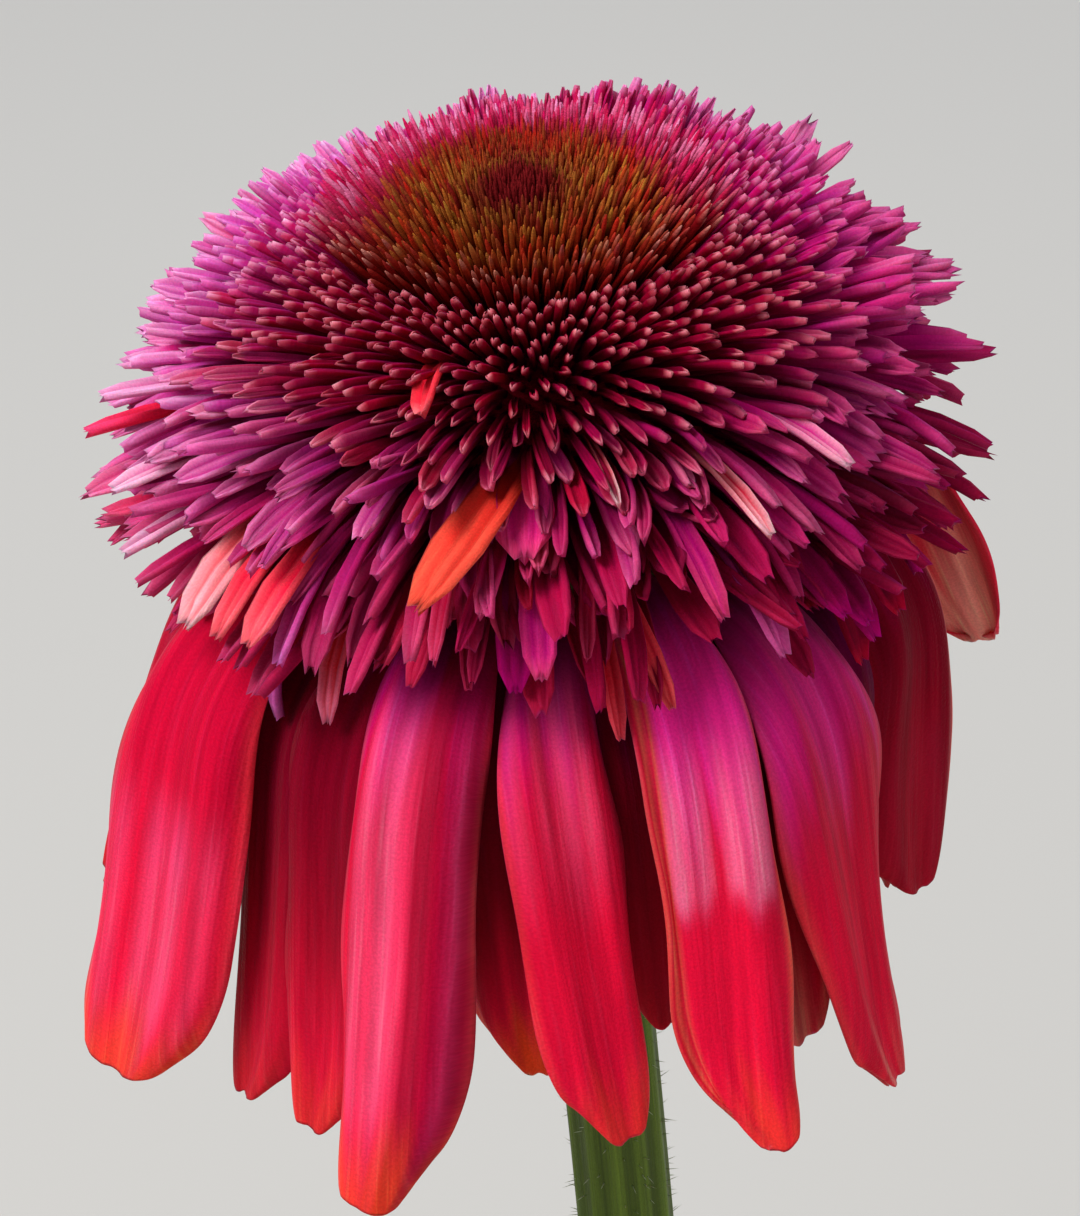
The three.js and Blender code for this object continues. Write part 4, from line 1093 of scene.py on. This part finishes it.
# Places and measures of the florets. They wind down the dome by the golden angle, crowded at the top. Lower
# ones are longer, flatter and droop more, and neighbours lean together in clumps. Those in front are
# lifted and shortened, and those behind and at the left are longer.
def floretShapes():
    item = np.arange(pompon["florets"])
    low = (item + 0.5) / pompon["florets"]
    azimuth = item * goldenAngle
    facing, aside = np.cos(np.radians(azimuth)), np.sin(np.radians(azimuth))
    level = mix(pompon["top"], pompon["bottom"], mix(low, low ** 3, pompon["crowding"]))
    level = level + pompon["frontLift"] * facing * low ** 2
    point, slope = domePoint(level, azimuth)
    flat = smooth((mix(*pompon["flatFrom"], clamp(facing)) - level) / pompon["flatRun"])
    loose, gather = mix(0.4, 1, flat), 2 * pompon["gather"] * flat
    length = mix(pompon["longest"], pompon["shortest"], clamp(level / pompon["top"]) ** 1.5)
    length = length * (1 - pompon["frontShortening"] * facing * low)
    length = length * mix(mix(0.86, 1.08, draw(item, 4)), mix(0.6, 1.14, draw(item, 4) ** 0.65), flat)
    behind = clamp(-facing) * (1 - low)
    fringe = behind * ramp(-aside, 0.15, 0.3)
    length = length + pompon["backExtra"] * (behind - 1.8 * fringe)
    length = length + pompon["leftExtra"] * clamp(-aside) * low
    length = length + pompon["tuft"] * ripple(point, pompon["tuftSize"], 20) * clamp(-facing)
    droop = pompon["droop"] * smooth(low) + pompon["droopSpread"] * offset(item, 5) * loose
    droop = droop + gather * ripple(point, pompon["clump"], 17)
    swing = pompon["swing"] * offset(item, 6) * loose + gather * ripple(point, pompon["clump"], 18)
    tube = pompon["tube"] * mix(0.8, 1.1, draw(item, 18))
    width = mix(tube, pompon["width"] * mix(0.66, 1.65, draw(item, 8) ** 1.7), flat)
    return dict(item=item, low=low, azimuth=azimuth, facing=facing, aside=aside, level=level, point=point,
                slope=slope, flat=flat, length=length, droop=droop, swing=swing, width=width,
                twist=pompon["twist"] * offset(item, 7), teeth=draw(item, 9))


# Adds the colours of the florets. Lit ones, behind and at the left, get a painted lilac highlight and
# stronger ribs, and those behind get more and earlier pale tips as painted light. The inner ones and those
# in front are dark red tubes.
# The ones under the rest are red with darker tips, with painted shade towards the right that darkens them
# and thins their pale tips. Those at the right and low in front get painted shade too: darker bodies, fewer
# tips and fainter ribs.
def paintFlorets(f):
    item, low, flat, facing, aside = [f[key] for key in ("item", "low", "flat", "facing", "aside")]
    front, back, right, left = clamp(facing), clamp(-facing), clamp(aside), clamp(-aside)
    # shaded and lit mark where painted shade and painted light go.
    shaded = clamp(0.3 * right + 1.1 * front * smooth((28 - f["level"]) / 30))
    lit = clamp(0.7 * back + 0.8 * left)
    redness = clamp(1.4 * draw(item, 10) ** 2 - 0.4 + 0.3 * front * ramp(low, 0.7, 0.3))
    inner = smooth((f["level"] - mix(32, 40, back)) / mix(14, 5, back))
    under = ramp(low, 0.7, 0.28)
    inFront = (1 - flat) * ramp(facing, -0.1, 0.7)
    body = coated(
        tint((0.46, 0.003, 0.08), (0.36, 0.004, 0.17), draw(item, 12)),
        ((0.54, 0.003, 0.03), redness * mix(1, 0.6, np.maximum(right, back))),
        ((0.66, 0.04, 0.42), 0.85 * lit * (1 - 0.7 * redness)),
        ((0.54, 0.01, 0.24), 0.6 * right),
        ((0.5, 0.003, 0.038), 0.8 * under)) * (1 - 0.45 * under * right)[:, None]
    body = coated(body, ((0.42, 0.003, 0.05), 0.9 * inner * (1 - 0.4 * np.abs(aside))),
                  ((0.22, 0.0015, 0.012), 0.9 * inFront))
    tip = coated(
        tint((0.72, 0.04, 0.22), (0.88, 0.2, 0.42), draw(item, 14)),
        ((0.88, 0.42, 0.72), 0.9 * lit),
        ((0.86, 0.3, 0.48), 0.6 * inner),
        ((0.74, 0.2, 0.22), 0.9 * inFront),
        ((0.74, 0.035, 0.13), 0.65 * under))
    far = back * (1 - inner)
    amount = mix(0.25, 1.0, draw(item, 15) ** mix(1.4, 1.0, flat)) * mix(1.0, 0.3, shaded * flat)
    amount = mix(amount, 1, 0.6 * far) * (1 - 0.5 * inner * back) * (1 - 0.8 * under * clamp(aside + 0.3))
    # The roots are dark red, darkest in front: painted shade in the gaps between florets.
    f["root"] = tint((0.24, 0.001, 0.026), (0.11, 0.0006, 0.008), clamp(1.4 * front - 0.4 * draw(item, 13)))
    f["body"], f["tip"], f["tipAmount"] = body * mix(1.0, 0.7, shaded)[:, None], tip, amount
    f["tipStart"] = mix(0.92, mix(0.88, 0.68, draw(item, 19)), flat) - 0.15 * far
    f["ribs"] = mix(0.0, 0.48, draw(item, 16) ** 3) * flat * mix(1.0, 0.3, shaded) * mix(1, 1.4, lit)


# The florets that stand out, in the same terms as the others: all flat, with strong tips.
def accentFlorets():
    extra = {key: np.array([row[k] for row in accents], float) for k, key in enumerate(accentKeys)}
    extra["point"], extra["slope"] = domePoint(extra["level"], extra["azimuth"])
    # Their roots are painted shade, at a third of the body's colour.
    extra["root"] = extra["body"] * 0.3
    for key, value in (("teeth", 0.3), ("flat", 1.0), ("tipAmount", 0.95)):
        extra[key] = np.full(len(accents), value)
    return extra


def makePompon():
    drawn, extra = floretShapes(), accentFlorets()
    paintFlorets(drawn)
    florets = {key: np.concatenate([drawn[key], extra[key]]) for key in extra}
    points, x = strapPoints(florets)
    length = florets["length"][:, None, None]
    grain = spread(x, length * floretRows[:, None], np.arange(len(length))[:, None, None])
    straps = skin(onHead(points), strapTone(florets), grain)
    height = np.linspace(dome["floor"] + dome["floorEdge"], dome["cut"], dome["wallRows"])
    wall = dome["radius"] * np.cos(np.arcsin((height - dome["middle"]) / dome["rise"]))
    outline = [(dome["hole"], dome["floor"]), (dome["floorRadius"], dome["floor"]), *zip(wall, height),
               (dome["hole"], dome["cut"])]
    shadowCore = coreSkin(outline, pompon["shadowCore"])
    addPiece("floret_pompon", [shadowCore, straps], floretLook, ["pompon"])


makePompon()
print("pompon made")

# The cone: bristles over the dome's cap, red shafts with olive tips, and a maroon middle.
cone = dict(bristles=2300, length=4.4, sink=0.8, fine=0.24, coarse=0.5, edgeExtra=1.5, rim=11.8,
            eyeForward=3.0, slopeSpread=9, swing=14, upright=10, lift=0.35, sides=5, point=0.06,
            capRows=10, shadowCore=(0.1, 0.004, 0.003), stations=np.array([0, 0.5, 0.8, 0.92, 0.985]),
            half=np.array([0.85, 1.0, 0.85, 0.6, 0.24]))


# Colours along the bristles: away is the distance from the dark eye, the ring round it is magenta behind,
# olive lies between, and the front edge is dark with pale tips. The near-black roots are painted shade
# between them.
def bristleTone(item, outer, facing, away):
    ring = ramp(away, 0.58, 0.24) * (1 - ramp(facing, 0.1, 0.6))
    front = ramp(facing, -0.1, 0.7) * ramp(outer, 0.74, 0.24)
    olive = ramp(away, 0.14, 0.2) * draw(item, 26) * mix(0.25, 1, smooth(facing + 0.7))
    olive = olive * (1 - ring) * (1 - 0.5 * front)
    shaft = coated(
        tint((0.44, 0.014, 0.008), (0.6, 0.044, 0.014), draw(item, 25)),
        ((0.5, 0.13, 0.022), 0.6 * olive))
    shaft = coated(
        tint((0.14, 0.003, 0.007), shaft, ramp(away, 0.1, 0.22)),
        ((0.6, 0.003, 0.07), ring),
        ((0.22, 0.002, 0.006), 0.9 * front))
    end = coated(
        tint((0.2, 0.01, 0.013), (0.48, 0.21, 0.03), olive),
        ((0.52, 0.018, 0.01), draw(item, 28) ** 1.5 * ramp(away, 0.2, 0.3) * (1 - 0.6 * front)),
        ((0.64, 0.005, 0.105), ring * mix(0.6, 1, draw(item, 29))),
        ((0.84, 0.26, 0.52), ring * draw(item, 27) ** 2 * ramp(away, 0.7, 0.2)),
        ((0.28, 0.01, 0.01), 0.8 * front),
        ((0.72, 0.3, 0.26), front * draw(item, 27) ** 2))
    s = cone["stations"][:, None]
    # Near-black roots: painted shade between the bristles.
    return coated((0.09, 0.003, 0.002), (shaft[:, None, None], ramp(s, 0.3, 0.45)),
                  (end[:, None, None], ramp(s, mix(0.72, 0.88, front)[:, None, None], 0.12)))


def makeCone():
    item = np.arange(cone["bristles"])
    outer = (item + 0.5) / cone["bristles"]
    azimuth = item * goldenAngle
    facing = np.cos(np.radians(azimuth))
    floor = dome["cut"] + cone["lift"]
    point, slope = domePoint(mix(90, domeLatitude(floor) + 0.3, outer), azimuth)
    slope = slope + cone["slopeSpread"] * offset(item, 21) + cone["upright"] * (1 - smooth(outer / 0.4))
    azimuth = azimuth + cone["swing"] * offset(item, 22)
    length = cone["length"] * mix(0.72, 1.08, smooth(outer / 0.75)) * mix(0.78, 1.1, draw(item, 23))
    length = length + cone["edgeExtra"] * ramp(outer, 0.7, 0.3) + cone["sink"]
    start = point - directions(azimuth, slope)[0] * cone["sink"]
    frames = walk(start, length, cone["stations"], lambda share: (azimuth[:, None], slope[:, None]))
    width = mix(cone["fine"], cone["coarse"], outer ** 1.3) * mix(0.85, 1.15, draw(item, 24))
    points = tubes(frames, width[:, None] / 2 * cone["half"], cone["sides"])
    tips = frames[0][:, -1] + frames[1][0][:, 0] * cone["point"]
    away = np.hypot(point[:, 0], point[:, 1] + cone["eyeForward"]) / cone["rim"]
    bristles = skin(onHead(points), bristleTone(item, outer, facing, away), points, tips=onHead(tips))
    latitude = np.radians(np.linspace(domeLatitude(floor), 89, cone["capRows"]))
    cap = zip(dome["radius"] * np.cos(latitude), dome["middle"] + dome["rise"] * np.sin(latitude))
    shadowCore = coreSkin([(dome["hole"], floor), *cap], cone["shadowCore"])
    addPiece("cone_bristles", [shadowCore, bristles], coneLook, ["cone"])


makeCone()
print("cone made")

# A pale floor, an even pale surround and soft lamps: one broad from above, two weaker at the sides.
stage = dict(floorRadius=12000, floorSides=96, near=(0.6, 0.59, 0.57), far=(1.0, 1.0, 1.0),
             fade=(0.3, 3.0), sky=(0.95, 0.96, 0.98), skyStrength=0.42)
# Name, place, size, power and colour.
lamps = [
    ("key", (-620, -400, 1250), 600, 15, (1.0, 0.98, 0.95)),
    ("fill", (800, -700, 700), 600, 1.2, (1.0, 0.96, 0.93)),
    ("back", (100, 900, 1000), 600, 4, (0.96, 0.98, 1.0)),
]


def makeStage():
    turn = 2 * math.pi * np.arange(stage["floorSides"]) / stage["floorSides"]
    rim = np.stack([np.cos(turn), np.sin(turn), 0 * turn], -1) * stage["floorRadius"] * mm
    mesh = bpy.data.meshes.new("floor")
    mesh.from_pydata(rim.tolist(), [], [list(range(len(rim)))])
    material, tree, shader = newMaterial("floorPaint", {"Roughness": 0.8})
    away = addNode(tree, "VectorMath", {0: objectPlace(tree)}, operation="LENGTH").outputs["Value"]
    colour = blended(tree, ranged(tree, away, (0.0, 1.0), stage["fade"]), stage["near"], stage["far"])
    tree.links.new(colour, shader.inputs["Base Color"])
    mesh.materials.append(material)
    addObject("floor", mesh)
    world = bpy.context.scene.world or bpy.data.worlds.new("surround")
    bpy.context.scene.world = world
    world.use_nodes = True
    sky = world.node_tree.nodes["Background"].inputs
    sky["Color"].default_value = (*stage["sky"], 1)
    sky["Strength"].default_value = stage["skyStrength"]


def makeLamps():
    aim = Vector(head["place"]) * mm
    for name, place, size, power, colour in lamps:
        data = bpy.data.lights.new(name, "AREA")
        data.shape = "DISK"
        data.size = size * mm
        data.energy = power
        data.color = colour
        addObject(name, data, Vector(place) * mm, aim - Vector(place) * mm)


makeStage()
makeLamps()
bpy.context.scene.view_settings.view_transform = "Standard"
print("stage and lamps set")
